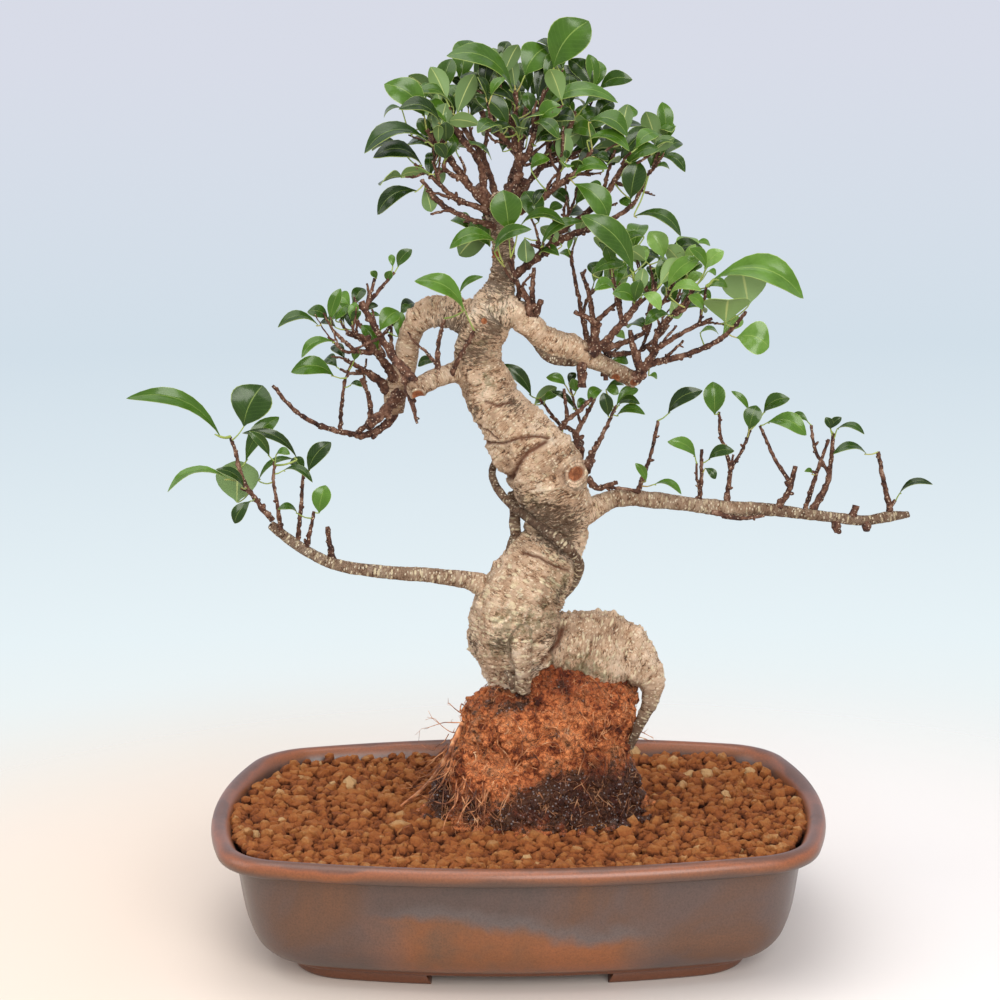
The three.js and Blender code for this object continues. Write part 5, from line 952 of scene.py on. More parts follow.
relief = 0.55 * folds + 1.3 * warts + 0.9 * neck * scales - 0.12

# Swollen rings round healed cuts on the front: x, z, size across the wood, height of the rim, and
# whether the wood is open. They are the front scar and the ring round it, one cut on the left arch,
# two on the right limb, one at the fork and one on the neck, and four old knots, the first double.
cuts = [
    (34.6, 277, 4.6, 1.0, True), (34.6, 277, 8.4, 0.8, False), (-54.2, 323.6, 3.4, 0.7, True),
    (58.6, 329.6, 2.8, 0.5, True), (68.8, 327.0, 2.2, 0.4, True), (-16.3, 364.3, 1.9, 0.7, True),
    (-9, 401, 2.2, 0.6, True), (-22, 332.6, 3.6, 1.1, False), (-22, 332.6, 1.2, 0.5, False),
    (-5.2, 304.1, 4.0, 0.8, False), (-5.2, 283.1, 4.2, 0.9, False), (-24, 309, 3.4, 0.8, False),
]
nowhere_near = 99.0
to_cut = np.full(len(bark_points), nowhere_near)
facing = bark_normals[:, 1] < 0.15
for x, z, size, rim, open_wood in cuts:
    away = np.hypot(bark_points[:, 0] - x, bark_points[:, 2] - z)
    away = np.where(facing, away, nowhere_near)
    ring = np.exp(-((away - size) / (0.3 * size)) ** 2)
    hollow = np.exp(-(away / (0.62 * size)) ** 2)
    push = push * (1 - 0.7 * hollow) + rim * ring - 0.6 * rim * hollow
    relief += 0.5 * ring - 0.5 * np.exp(-((away - 1.45 * size) / (0.2 * size)) ** 2)
    if open_wood:
        to_cut = np.minimum(to_cut, away / size)

# Lines that training wire and old branches left on the front: x and z along each, width, depth.
wire_marks = [
    ([(-18.5, 293), (-7.5, 294.8), (3, 298.4), (12.2, 300), (19.7, 298.8)], 0.9, 1.7),
    ([(18, 296.5), (7.5, 290.7), (2.9, 284.9), (-3.5, 273.3)], 1.5, 1.8),
    ([(3.5, 231.4), (14, 229), (23, 224), (30, 220.3)], 0.9, 1.4),
    ([(-16, 318.6), (-9, 316), (-2, 317.4)], 0.8, 1.0),
    ([(27, 187), (24, 178), (16, 168)], 1.6, 2.0),
    ([(-26, 306), (-15, 300), (-10, 297)], 0.7, 0.9),
    ([(41, 347), (52, 342), (62, 335)], 0.8, 1.5),
]
thinnest_marked = 6
in_groove, on_wood = np.zeros(len(bark_points)), facing & (reach > thinnest_marked)
for course, width, depth in wire_marks:
    nearest = np.full(len(bark_points), nowhere_near)
    for (x0, z0), (x1, z1) in zip(course, course[1:]):
        step = np.array([x1 - x0, z1 - z0])
        offset = bark_points[:, [0, 2]] - np.array([x0, z0])
        share = np.clip(offset @ step / (step @ step), 0, 1)
        nearest = np.minimum(nearest, np.linalg.norm(offset - share[:, None] * step, axis=1))
    bite = np.where(on_wood, np.exp(-(nearest / width) ** 2), 0)
    lips = np.where(on_wood, np.exp(-((nearest - 2.2 * width) / width) ** 2), 0)
    push += 0.45 * lips - depth * bite
    in_groove = np.maximum(in_groove, bite)
pushed = bark_points + bark_normals * push[:, None]
trunk.data.vertices.foreach_set("co", (pushed / 1000 + pot_middle).ravel())
trunk.data.update()

# Places where the bark is dark, some dark and scaly and some painted shadow under bulges and forks,
# and places where algae grows: x, y, z and reach.
dark_bark_and_shadow_places = [
    (-11, -12, 361, 9), (-8, -6, 385, 13), (-7, -6, 405, 12), (-9, -4, 425, 12), (-34, 0, 362, 13),
    (1, -14, 319, 9), (-22, -8, 345, 9), (-2, -16, 263, 8), (8, -16, 253, 9), (18, -14, 243, 10),
    (29, -10, 233, 9), (20, -12, 258, 10), (-24, -8, 312, 7), (24, -20, 181, 9), (8, -22, 160, 10),
    (31, -6, 250, 11), (26, -12, 268, 7), (3, -14, 340, 10), (0, -18, 250, 8), (-30, -10, 176, 9),
    (-9, -26, 181, 7), (-52, -10, 330, 9), (-34, -4, 160, 10), (62, -18, 150, 8), (-3, -12, 238, 7),
    (28, -14, 205, 8),
]
algae_places = [
    (26, -16, 212, 11), (8, -27, 190, 14), (27, -18, 193, 9), (46, -16, 157, 13),
    (34, -18, 165, 10), (-24, -12, 352, 12), (-8, -12, 372, 9), (-27, -10, 296, 8),
    (12, -18, 262, 9), (-5, -20, 196, 11), (-10, -26, 178, 10), (-14, -14, 330, 9),
    (16, -14, 284, 8),
]
attribute = trunk.data.attributes.new("grain", "FLOAT_VECTOR", "POINT")
attribute.data.foreach_set("vector", grain.astype(np.float32).ravel())
for name, values in (
        ("cut", np.clip(to_cut, 0, 3)), ("groove", in_groove), ("limb", np.clip(reach, 0, 30)),
        ("relief", np.clip(relief * 0.6 + 0.5, 0, 1)),
        ("dark", np.clip(nearness(bark_points, dark_bark_and_shadow_places), 0, 1)),
        ("algae", np.clip(nearness(bark_points, algae_places), 0, 1))):
    mark(trunk.data, name, values)
bpy.ops.object.shade_smooth()

# Ficus bark: thin matt skin, grey tan, pale on the raised folds and brown in the creases, which is
# painted light and shade, with pale corky dashes 2 to 5 mm long in rows across it, dark scaly
# places and places of painted shadow, green algae, orange open cuts.
bark, tree, shader = new_material("ficus_bark", Roughness=0.78, Specular_IOR_Level=0.3)
grain_at = add_node(tree, "Attribute", attribute_name="grain").outputs["Vector"]
here = add_node(tree, "TexCoord").outputs["Object"]
broad = add_node(tree, "TexNoise", {
    "Vector": here, "Scale": 40.0, "Detail": 6.0, "Roughness": 0.65})
base_tone = add_node(tree, "ValToRGB", [broad], stops=[
    (0.32, "#9f7f65"), (0.43, "#c6a484"), (0.55, "#e2c2a2"), (0.68, "#f2dcc0")])
limb_radius = add_node(tree, "Attribute", attribute_name="limb").outputs["Fac"]
thin = add_node(tree, "MapRange", [limb_radius, 7.0, 2.8, 0.0, 0.85])
limb_tone = add_node(tree, "MixRGB", [thin, base_tone, "#59402f"])
relief_at = add_node(tree, "Attribute", attribute_name="relief").outputs["Fac"]
crack_way = add_node(tree, "Mapping", {"Vector": grain_at, "Scale": (0.3, 0.3, 0.95)})
cracks = add_node(tree, "TexNoise", {
    "Vector": crack_way, "Scale": 1.0, "Detail": 5.0, "Roughness": 0.7, "Distortion": 0.6})
wrinkle_way = add_node(tree, "Mapping", {"Vector": grain_at, "Scale": (0.75, 0.75, 2.3)})
wrinkles = add_node(tree, "TexNoise", {
    "Vector": wrinkle_way, "Scale": 1.0, "Detail": 4.0, "Roughness": 0.75, "Distortion": 0.8})
rough = add_node(tree, "Math", [cracks, 1.1, wrinkles], operation="MULTIPLY_ADD")
# Where the relief is low, in creases, hollows and round healed rings, the shade ramp darkens the
# bark: painted shade. The cracks and wrinkles are the bark's own texture.
cracks_and_crease_shade = add_node(tree, "Math", [relief_at, 0.5, rough], operation="MULTIPLY_ADD")
crease_shade_level = add_node(tree, "MapRange", [cracks_and_crease_shade, 0.97, 1.5])
shade = add_node(tree, "ValToRGB", [crease_shade_level], stops=[
    (0.0, "#22150e"), (0.17, "#614534"), (0.3, "#a98c75"), (0.45, "#e2d2c1"), (0.62, "#ffffff")])
cracked_and_shaded = add_node(tree, "MixRGB", [0.88, limb_tone, shade], blend_type="MULTIPLY")
dash_way = add_node(tree, "Mapping", {"Vector": grain_at, "Scale": (0.16, 0.16, 0.46)})
dashes = add_node(tree, "TexVoronoi", {"Vector": dash_way, "Scale": 1.0, "Randomness": 0.9})
row_way = add_node(tree, "Mapping", {"Vector": grain_at, "Scale": (0.035, 0.035, 0.3)})
dash_rows = add_node(tree, "TexNoise", {"Vector": row_way, "Scale": 1.0, "Detail": 2.0})
dash_core = add_node(tree, "MapRange", [dashes, 0.44, 0.26])
row_share = add_node(tree, "MapRange", [dash_rows, 0.42, 0.54, 0.1, 1.0])
dash_share = add_node(tree, "Math", [dash_core, row_share], operation="MULTIPLY")
height = add_node(tree, "SeparateXYZ", [here]).outputs["Z"]
dash_high = add_node(tree, "MapRange", [height, 0.22, 0.27, 0.85, 0.35])
dash_soft = add_node(tree, "Math", [dash_share, dash_high], operation="MULTIPLY")
dashed = add_node(tree, "MixRGB", [dash_soft, cracked_and_shaded, "#efdcb2"])
pore_way = add_node(tree, "Mapping", {"Vector": grain_at, "Scale": (0.36, 0.36, 0.62)})
pores = add_node(tree, "TexVoronoi", {"Vector": pore_way, "Scale": 1.0, "Randomness": 1.0})
pore_share = add_node(tree, "MapRange", [pores, 0.31, 0.2, 0.0, 0.6])
dashed = add_node(tree, "MixRGB", [pore_share, dashed, "#fbeccb"])
patchy = add_node(tree, "TexNoise", {
    "Vector": here, "Scale": 230.0, "Detail": 5.0, "Roughness": 0.75})
# The dark colour is partly the bark's own dark scales and partly painted shadow.
for name, strongest, none_at, full_at, grows, broken, colour in (
        ("algae", 0.55, 0.62, 0.73, 0.2, patchy, "#696843"),
        ("dark", 0.8, 0.4, 0.31, -0.22, cracks, "#4a3626")):
    marked = add_node(tree, "Attribute", attribute_name=name).outputs["Fac"]
    grown = add_node(tree, "Math", [marked, grows, broken], operation="MULTIPLY_ADD")
    flecks = add_node(tree, "MapRange", [grown, none_at, full_at, 0.0, strongest])
    dashed = add_node(tree, "MixRGB", [flecks, dashed, colour])
cut_far = add_node(tree, "Attribute", attribute_name="cut").outputs["Fac"]
uneven_far = add_node(tree, "Math", [cracks, 0.5, cut_far], operation="MULTIPLY_ADD")
rings = add_node(tree, "Math", [uneven_far, 17.0], operation="MULTIPLY")
ring_wave = add_node(tree, "Math", [rings], operation="SINE")
ring_line = add_node(tree, "MapRange", [ring_wave, 0.2, 1.0, 0.0, 0.55])
ring_near = add_node(tree, "MapRange", [cut_far, 2.5, 1.4])
ring_share = add_node(tree, "Math", [ring_line, ring_near], operation="MULTIPLY")
dashed = add_node(tree, "MixRGB", [ring_share, dashed, "#6b4f3c"])
groove = add_node(tree, "Attribute", attribute_name="groove").outputs["Fac"]
grooved = add_node(tree, "MixRGB", [groove, dashed, "#69402b"])
cut_inside = add_node(tree, "MapRange", [cut_far, 1.0, 0.8])
cut_tone = add_node(tree, "ValToRGB", [patchy], stops=[
    (0.35, "#6b3a20"), (0.5, "#9a5a35"), (0.62, "#c07a4e"), (0.75, "#d9a57c")])
with_cuts = add_node(tree, "MixRGB", [cut_inside, grooved, cut_tone])
raised = add_node(tree, "Math", [dash_share, 0.5, cracks_and_crease_shade], operation="MULTIPLY_ADD")
texture = add_node(tree, "Bump", {"Height": raised, "Strength": 1.0, "Distance": 0.0013})
set_inputs(tree, shader, {"Base Color": with_cuts, "Normal": texture})
trunk.data.materials.append(bark)


def leaf_scars(line, gap):
    """Swollen scars and short dead stubs along a twig, about a gap apart."""
    stubs = []
    room = random.uniform(0.3, 1) * gap
    for before, after in zip(line, line[1:]):
        way = after[:3] - before[:3]
        room -= np.linalg.norm(way)
        if room < 0:
            way = way / np.linalg.norm(way)
            aside = random.normal(size=3)
            aside = aside - way * (aside @ way)
            aside = aside / np.linalg.norm(aside) * 0.9 + way * random.uniform(0.1, 0.9)
            thick = before[3]
            bump = random.choice([0.3, 0.6, 1.0, 2.4], p=[0.35, 0.35, 0.2, 0.1])
            stick = thick + bump * random.uniform(0.7, 1.3)
            stubs.append(np.array([
                (*(before[:3] + aside * stick * share), thick * size)
                for share, size in ((0, 0.8), (0.7, 0.72), (1, 0.4))]))
            room = random.uniform(0.6, 1.5) * gap
    return stubs


def knobbly_twigs(name, lines, thinner, gap, sides):
    """Young wood along such lines: uneven in thickness, with its scars and stubs."""
    stems = []
    for line in lines:
        line = smooth_line(line, 1.8)
        line[:, 3] *= thinner * (1 + 0.1 * np.sin(np.arange(len(line)) * 1.9 + random.uniform(0, 6))
                                 + random.normal(0, 0.07, len(line)))
        line[1:-1, :3] += random.normal(0, 0.16, (len(line) - 2, 3))
        stems += [line, *leaf_scars(line, gap)]
    return round_wood(name, stems, sides)


# Bare twigs and light branches: young red-brown bark with grey bloom, knobbly with old leaf scars.
# They grew from the trunk, so they are joined to it as one piece.
twigs = knobbly_twigs("bare_twigs", light_limbs.values(), thinner=0.78, gap=5, sides=10)
young_bark, tree, shader = new_material(
    "young_red_brown_bark", Roughness=0.75, Specular_IOR_Level=0.3)
here = add_node(tree, "TexCoord").outputs["Object"]
bloom = add_node(tree, "TexNoise", {
    "Vector": here, "Scale": 190.0, "Detail": 5.0, "Roughness": 0.72})
young_tone = add_node(tree, "ValToRGB", [bloom], stops=[
    (0.34, "#20100a"), (0.45, "#412519"), (0.55, "#61402e"), (0.66, "#846552"), (0.78, "#b29983")])
speck_cells = add_node(tree, "TexVoronoi", {"Vector": here, "Scale": 520.0})
specks = add_node(tree, "MapRange", [speck_cells, 0.27, 0.14, 0.0, 0.6])
specked = add_node(tree, "MixRGB", [specks, young_tone, "#d3bba0"])
knobbly = add_node(tree, "Bump", {"Height": bloom, "Strength": 1.0, "Distance": 0.0014})
set_inputs(tree, shader, {"Base Color": specked, "Normal": knobbly})
twigs.data.materials.append(young_bark)
choose(twigs, trunk)
bpy.ops.object.join()
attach(trunk, "root")
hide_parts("trunk")


# Leafy stems: each is a spray of young twigs with its leaves, and grows from a limb of the trunk.
# First come its twigs, each a line of x, y, z and radius. Then come its leaves: x, y, z of the
# blade's foot and of its tip, its width, and its lift, where 0 faces the front, 1 faces up, and
# below 0 shows the underside.
leafy_stems = {
    "crown_far_left_low": ([
        [(-25, -6, 422, 2.3), (-35, -10, 427, 2), (-43, -13, 433, 1.8), (-47, -15, 440, 1.6),
         (-51, -16, 444, 1.5)],
    ], [
        (-53, -16, 438, -75, -24, 426, 10, 0.3), (-49, -10, 440, -45, -14, 426, 9, -0.2),
    ]),
    "crown_far_left": ([
        [(-27, -6, 431, 2.7), (-33, -8, 434, 2.3), (-40, -12, 441, 1.9), (-45, -15, 446, 1.6),
         (-54, -18, 453, 1.2)],
        [(-40, -12, 441, 1.5), (-42, -18, 448, 1.2), (-44, -21, 455, 1)],
    ], [
        (-50, -18, 452, -76, -28, 458, 14, 0.5), (-46, -20, 465, -81, -32, 461, 16, 0.6),
        (-63, -10, 463, -78, -14, 461, 9, 0.6), (-43, -2.8, 460, -61, 7, 462, 13, 0.6),
        (-46, -6.8, 445, -46, -3, 458, 6, 0.1), (-40, -8, 440, -41, -6, 451, 7, -0.1),
    ]),
    "crown_left": ([
        [(-24, -6, 440, 3.4), (-31, -10, 450, 2.8), (-37, -14, 458, 2.3), (-42, -17, 465, 2),
         (-47, -19, 472, 1.7)],
        [(-27, -9, 444, 2.2), (-34, -15, 447, 1.9), (-38, -20, 452, 1.6), (-37, -22, 455, 1.2)],
        [(-34, -12, 455, 1.8), (-41, -6, 460, 1.5), (-47, -2, 466, 1.2)],
    ], [
        (-48, -22, 479, -69, -30, 497, 16, 0.15), (-39, -28, 475, -61, -36, 484, 12, 0.5),
        (-36, -22, 475, -50, -18, 486, 11, 0.5), (-47, -16, 468, -51, -20, 478, 8, 0.1),
        (-62, 0, 484, -72, 2, 479, 8, 0.7), (-37, -26, 456, -42, -32, 464, 7, 0.1),
        (-36, -23.4, 456, -31, -24, 465, 7, 0.1), (-36, -26, 465, -36, -30, 476, 9, 0.1),
        (-33, -12, 476, -36, -10, 492, 8, 0.1), (-44, -4, 449, -47, 2, 459, 6, 0.1),
    ]),
    "crown_left_top": ([
        [(-16, -3, 441, 3.4), (-17, -5, 450, 2.8), (-21, -9, 458, 2.4), (-28, -13, 466, 2),
         (-33, -16, 474, 1.8)],
        [(-20, -8, 456, 2.2), (-29, 0, 470, 1.8), (-37, 4, 480, 1.4)],
    ], [
        (-39, 0, 490, -33, 4, 511, 11, 0.05), (-48, 4, 489, -48, 8, 498, 6, 0.05),
        (-32, -17.6, 484, -53, -22, 492, 10, 0.6), (-30, -22, 480, -20, -26, 502, 11, -0.1),
        (-28, 12.8, 497, -23, 25, 522, 15, 0.1), (-40, 11.6, 484, -42, 23, 493, 7, -0.1),
    ]),
    "crown_left_back": ([
        [(-12, 12, 444, 3.2), (-18, 16, 459, 2.6), (-25, 18, 469, 2.2), (-29, 20, 476, 1.8)],
        [(-16, 14, 454, 2), (-14, 24, 472, 1.6), (-18, 30, 486, 1.3)],
        [(-21, 17, 462, 1.8), (-32, 30, 465, 1.5), (-41, 38, 470, 1.2)],
    ], [
        (-23, 12, 478, -10, 10, 487, 8, 0.3), (-28, 26, 481, -35, 32, 497, 9, 0.2),
        (-14, 24, 492, -16, 22, 505, 9, 0.1), (-15, 34, 489, -6, 40, 503, 10, 0.3),
        (-20, 29.6, 490, -30, 32, 504, 10, 0.3), (-38, 38, 473, -51, 46, 483, 12, 0.5),
        (-43, 40, 466, -58, 50, 469, 13, 0.7), (-32, 36.4, 466, -39, 50, 477, 8, 0.2),
    ]),
    "crown_centre": ([
        [(3, -4, 443, 4), (4, -5, 454, 3.4), (2, -6, 465, 3), (2, -7, 478, 2.5), (3, -8, 492, 1.9)],
        [(4, -4, 450, 3), (9, -6, 457, 2.8), (12, -8, 466, 2.3), (15, -9, 479, 1.8),
         (19, -10, 493, 1.4)],
        [(3, -6, 460, 2.2), (-4, -14, 466, 1.9), (-10, -20, 472, 1.5)],
        [(2, -6, 472, 2), (-5, -12, 481, 1.7), (-10, -16, 488, 1.3)],
    ], [
        (1, -12, 492, -34, -26, 513, 16, 0.45), (-5, -4, 510, -1, -2, 520, 8, 0.05),
        (8, -6, 501, 21, -2, 517, 18, 0.05), (2, 0, 502, 0, 2, 514, 6, 0.05),
        (15, -4, 487, 24, 2, 514, 11, 0.05), (24, -14, 505, 43, -20, 530, 23, 0.1),
        (20, -10, 497, 25, -8, 515, 7, 0.1), (23, -6, 514, 15, -2, 520, 6, 0.6),
        (2, -12, 485, -17, -16, 495, 12, 0.45), (-2, -14.8, 472, -19, -19, 490, 12, 0.3),
        (3, -22, 469, -11, -30, 470, 11, 0.7), (-5, -31.2, 470, -18, -47, 471, 11, 0.6),
        (-5, -4, 459, -2, 0, 470, 7, 0.1), (13, -20, 475, 26, -30, 467, 8, 0.4),
        (16, -14, 475, 28, -18, 484, 11, 0.2), (13, -14, 462, 27, -22, 467, 12, 0.5),
        (5, 0, 484, -3, 6, 492, 9, 0.3), (11, 6, 481, 9, 8, 492, 8, 0.1),
        (9, 4, 467, 3, 8, 477, 9, 0.2), (20, 9.2, 480, 11, 15, 487, 9, 0.5),
        (-6, -4, 488, -9, -2, 498, 8, 0.2),
    ]),
    "crown_back": ([
        [(1, 18, 446, 3.2), (5, 24, 459, 2.6), (7, 30, 474, 2.2), (10, 34, 489, 1.6)],
        [(4, 22, 455, 2.2), (-4, 34, 465, 1.8), (-9, 42, 476, 1.4)],
        [(6, 26, 465, 2), (17, 36, 476, 1.7), (24, 42, 487, 1.3)],
        [(3, 20, 450, 2), (5, 38, 459, 1.7), (6, 50, 470, 1.3)],
    ], [
        (10, 34, 492, 5, 36, 509, 10, 0.1), (12, 36, 489, 22, 40, 501, 9, 0.2),
        (-9, 42, 479, -18, 50, 493, 10, 0.2), (-6, 45.2, 474, -2, 55, 489, 8, 0.1),
        (24, 42, 490, 36, 50, 501, 11, 0.3), (22, 44, 485, 15, 52, 498, 9, 0.1),
        (6, 50, 474, 1, 60, 488, 10, 0.3), (8, 52, 470, 21, 64, 479, 11, 0.4),
        (4, 50, 465, -8, 64, 470, 11, 0.5), (-2, 39.2, 465, -16, 53, 468, 14, 0.6),
        (17, 40, 474, 30, 52, 477, 13, 0.6), (26, 44, 484, 43, 54, 485, 14, 0.6),
    ]),
    "crown_right": ([
        [(12, 8, 444, 3.2), (20, 8, 454, 2.6), (28, 6, 465, 2.1), (34, 4, 474, 1.8),
         (36, 2, 481, 1.6)],
        [(20, 8, 454, 2), (21, 8, 464, 1.8), (21, 8, 473, 1.4)],
        [(28, 6, 465, 1.8), (39, 10, 470, 1.5), (47, 12, 477, 1.2)],
        [(16, 8, 449, 2), (28, 14, 454, 1.8), (42, 20, 459, 1.5)],
    ], [
        (21, 4, 487, 30, 8, 505, 10, 0.05), (33, -2, 484, 33, 0, 501, 10, 0.05),
        (46, 8, 493, 33, 10, 510, 11, 0.1), (48, 12, 494, 50, 14, 509, 11, 0.05),
        (17, -6.8, 479, 59, -15, 487, 12, 0.5), (41, 0, 483, 59, 2, 488, 9, 0.5),
        (48, 4, 476, 58, 8, 486, 10, 0.1), (62, 12.8, 475, 72, 15, 481, 9, 0.2),
        (44, 2, 470, 53, -2, 475, 8, 0.4), (35, 10, 477, 28, 14, 486, 9, 0.3),
        (25, 12, 469, 19, 14, 481, 9, 0.1), (37, 14, 465, 31, 18, 476, 9, 0.2),
        (51, 16, 471, 44, 20, 483, 9, 0.2), (41, 8, 459, 37, 6, 472, 9, 0.1),
        (45, 9.2, 459, 47, 15, 471, 9, 0.1), (53, 12, 463, 79, 20, 470, 9, 0.6),
        (51, 28.8, 461, 63, 45, 469, 9, 0.3), (11, 14, 451, 14, 16, 459, 7, 0.1),
        (31, 8, 489, 26, 14, 481, 7, 0.3),
    ]),
    "crown_right_front": ([
        [(15, -9, 431, 2.9), (21, -11, 436, 2.4), (28, -14, 442, 2.1), (37, -17, 449, 1.9),
         (45, -20, 460, 1.7)],
        [(25, -12, 440, 1.8), (28, -14, 454, 1.5), (29, -14, 473, 1.2)],
        [(33, -15, 446, 1.7), (42, -10, 447, 1.5), (50, -8, 454, 1.3)],
    ], [
        (43, -24, 475, 64, -32, 468, 13, 0.5), (42, -26.8, 465, 65, -33, 460, 9, 0.5),
        (35, -20, 445, 53, -26, 450, 9, 0.4), (35, -16.4, 441, 54, -17, 422, 14, 0.2),
        (46, -18, 456, 54, -20, 454, 6, 0.4), (11, -14, 449, 21, -18, 455, 8, 0.4),
        (31, -20, 455, 30, -22, 460, 4, 0.2), (19, -18, 438, 12, -24, 430, 5, 0.3),
    ]),
    "crown_right_end": ([
        [(41, 4, 423, 2.8), (51, 1, 431, 2.5), (58, -3, 442, 2.2), (64, -7, 452, 1.8)],
        [(51, 2, 431, 1.9), (54, 7, 444, 1.6), (59, 10, 459, 1.3)],
        [(57, -2, 441, 1.6), (68, 6, 439, 1.3), (73, 10, 442, 1.1)],
    ], [
        (63, -8, 455, 80, -6, 470, 12, 0.2), (66, -14, 452, 82, -18, 460, 9, 0.3),
        (67, -8, 432, 71, -10, 453, 14, 0.1), (57, 15.2, 459, 51, 23, 468, 8, 0.2),
        (62, 16, 453, 74, 26, 458, 10, 0.4), (50, -6, 434, 43, -12, 440, 8, 0.3),
    ]),
    "crown_right_tip": ([
        [(78, 5, 446, 2), (80, 5, 448, 1.6), (81, 6, 449, 1.2)],
    ], [
        (79, 8, 449, 85, 10, 462, 10, 0.1), (69, -6, 422, 95, -14, 412, 9, 0.5),
        (68, 2, 426, 61, 4, 431, 6, 0.2), (84, 4.4, 455, 98, -3, 447, 7, 0.4),
        (82, 8, 449, 90, 10, 448, 4, 0.5),
    ]),
    "crown_low_front": ([
        [(1, -5, 372, 2.6), (4, -7, 380, 2.1), (2, -12, 388, 1.6), (-1, -14, 400, 1.4)],
    ], [
        (-2, -22, 416, -5, -26, 438, 18, 0.05), (-9, -18, 409, -35, -24, 407, 10, 0.4),
        (-10, -21.2, 404, 10, -31, 417, 8, 0.3), (4, -18, 417, 29, -26, 420, 10, 0.6),
    ]),
    "crown_low_right": ([
        [(20, -5, 402, 2.6), (16, -12, 405, 1.8), (14, -16, 409, 1.3)],
    ], [
        (15, -14.4, 420, 7, -13, 437, 13, 0.05), (7, -10, 411, 8, -12, 397, 10, -0.1),
        (16, -20, 406, 39, -24, 421, 7, 0.4), (28, -7.6, 406, 16, -9, 417, 8, -0.1),
        (15, -16, 402, 26, -22, 402, 7, 0.5),
    ]),
    "crown_low_back": ([
        [(-11, 6, 417, 3), (-17, 14, 417, 2), (-22, 20, 414, 1.5)],
    ], [
        (-10, 18, 417, -31, 14, 400, 16, -0.1), (-13, 10.4, 405, -24, 13, 419, 12, 0.1),
        (-24, 24, 413, -35, 34, 420, 10, 0.4), (-16, 26, 416, -9, 40, 427, 9, 0.3),
        (-18, 26, 408, -5, 36, 400, 13, 0.5),
    ]),
    "crown_under_right": ([
        [(22, -4, 407, 2.6), (29, 10, 416, 1.9), (34, 18, 426, 1.5)],
    ], [
        (21, 8, 424, 29, 10, 428, 6, 0.3), (33, 20, 427, 23, 24, 436, 8, 0.2),
        (37, 20.8, 428, 46, 25, 438, 10, 0.3), (32, 24, 421, 45, 36, 417, 13, 0.5),
        (25, 12, 413, 36, 22, 408, 11, 0.5),
    ]),
    "right_back": ([
        [(43, 6, 348, 2.6), (38, 6, 374, 1.7), (33, 4, 400, 1.4)],
        [(40, 6, 365, 1.6), (43, 16, 374, 1.4), (51, 22, 382, 1.2)],
    ], [
        (32, 2, 403, 34, 0, 411, 3, 0.2), (51, 24, 383, 45, 30, 394, 9, 0.2),
        (53, 20.4, 384, 64, 23, 392, 10, 0.4), (35, 8, 396, 27, 14, 401, 5, 0.4),
        (20, 10, 343, 26, 12, 341, 5, 0.1),
    ]),
    "right_front": ([
        [(62, -10, 362, 3.3), (68, -12, 370, 2.8), (73, -13, 376, 2.2)],
        [(62, -10, 362, 2), (58, -8, 381, 1.7), (55, -8, 396, 1.3)],
        [(68, -13, 370, 1.7), (69, -18, 379, 1.4), (68, -22, 387, 1.1)],
    ], [
        (67, -26, 392, 39, -38, 424, 15, 0.2), (59, -6, 399, 46, -8, 411, 7, -0.2),
        (45, -12, 390, 63, -14, 396, 8, 0.2), (58, -20, 381, 46, -28, 383, 10, 0.5),
        (68, -24, 375, 56, -32, 381, 11, 0.3), (68, -24, 375, 71, -28, 388, 8, 0.1),
        (72, -10, 379, 74, -8, 393, 8, -0.1), (72, -22, 379, 82, -32, 372, 8, 0.5),
        (75, 2, 410, 63, -2, 407, 6, 0.5), (76, 2, 396, 74, 6, 405, 6, 0.1),
    ]),
    "right_middle": ([
        [(76, 8, 355, 2.4), (79, 10, 371, 1.9), (82, 10, 384, 1.5)],
        [(78, 9, 362, 2), (86, 4, 373, 1.7), (90, 0, 380, 1.4)],
        [(80, 10, 373, 1.6), (76, 20, 381, 1.4), (74, 26, 390, 1.1)],
    ], [
        (86, 4, 398, 78, 2, 413, 12, 0.15), (89, 8, 396, 108, 4, 404, 10, 0.4),
        (87, -6, 382, 84, -10, 398, 10, 0.05), (88, -9.2, 382, 105, -15, 399, 10, 0.15),
        (90, 3.2, 377, 101, 7, 389, 9, 0.1), (85, 14.4, 396, 76, 22, 398, 6, 0.4),
        (83, 16.4, 381, 78, 24, 392, 5, 0.1), (84, 19.6, 387, 92, 35, 394, 8, 0.3),
        (74, 28, 392, 66, 36, 399, 9, 0.3), (75, 30, 389, 84, 38, 400, 9, 0.3),
        (72, 28, 385, 62, 38, 385, 10, 0.5), (105, 12, 405, 114, 16, 404, 4, 0.3),
    ]),
    "right_upper": ([
        [(80, 9, 342, 2.6), (84, 2, 358, 2.3), (96, -10, 372, 1.9), (104, -14, 384, 1.4)],
        [(90, -8, 366, 1.7), (97, -14, 370, 1.5), (100, -16, 375, 1.2)],
    ], [
        (109, -16, 393, 118, -20, 403, 9, 0.2), (108, -19.6, 393, 99, -29, 405, 7, 0.3),
        (100, -6, 382, 107, -8, 390, 7, 0.5), (110, -12, 391, 115, -10, 389, 4, 0.3),
        (88, -18, 378, 105, -26, 382, 8, 0.5), (88, -18, 367, 74, -26, 363, 7, 0.3),
        (90, -6, 374, 94, -8, 364, 8, -0.1), (111, -8, 382, 122, -6, 382, 7, 0.4),
        (105, -10, 379, 112, -12, 376, 5, 0.3),
    ]),
    "right_big_leaf": ([
        [(81, -1, 346, 2.3), (97, -5, 356, 1.9), (109, -6, 362, 1.7), (113, -8, 364, 1.5)],
        [(106, -5, 361, 1.5), (108, -12, 375, 1.2), (109, -16, 383, 1)],
    ], [
        (113, -18, 387, 162, -30, 378, 18, 0.35), (134, -4, 371, 130, -2, 392, 26, -0.1),
        (107, -14, 369, 99, -20, 378, 7, 0.3),
    ]),
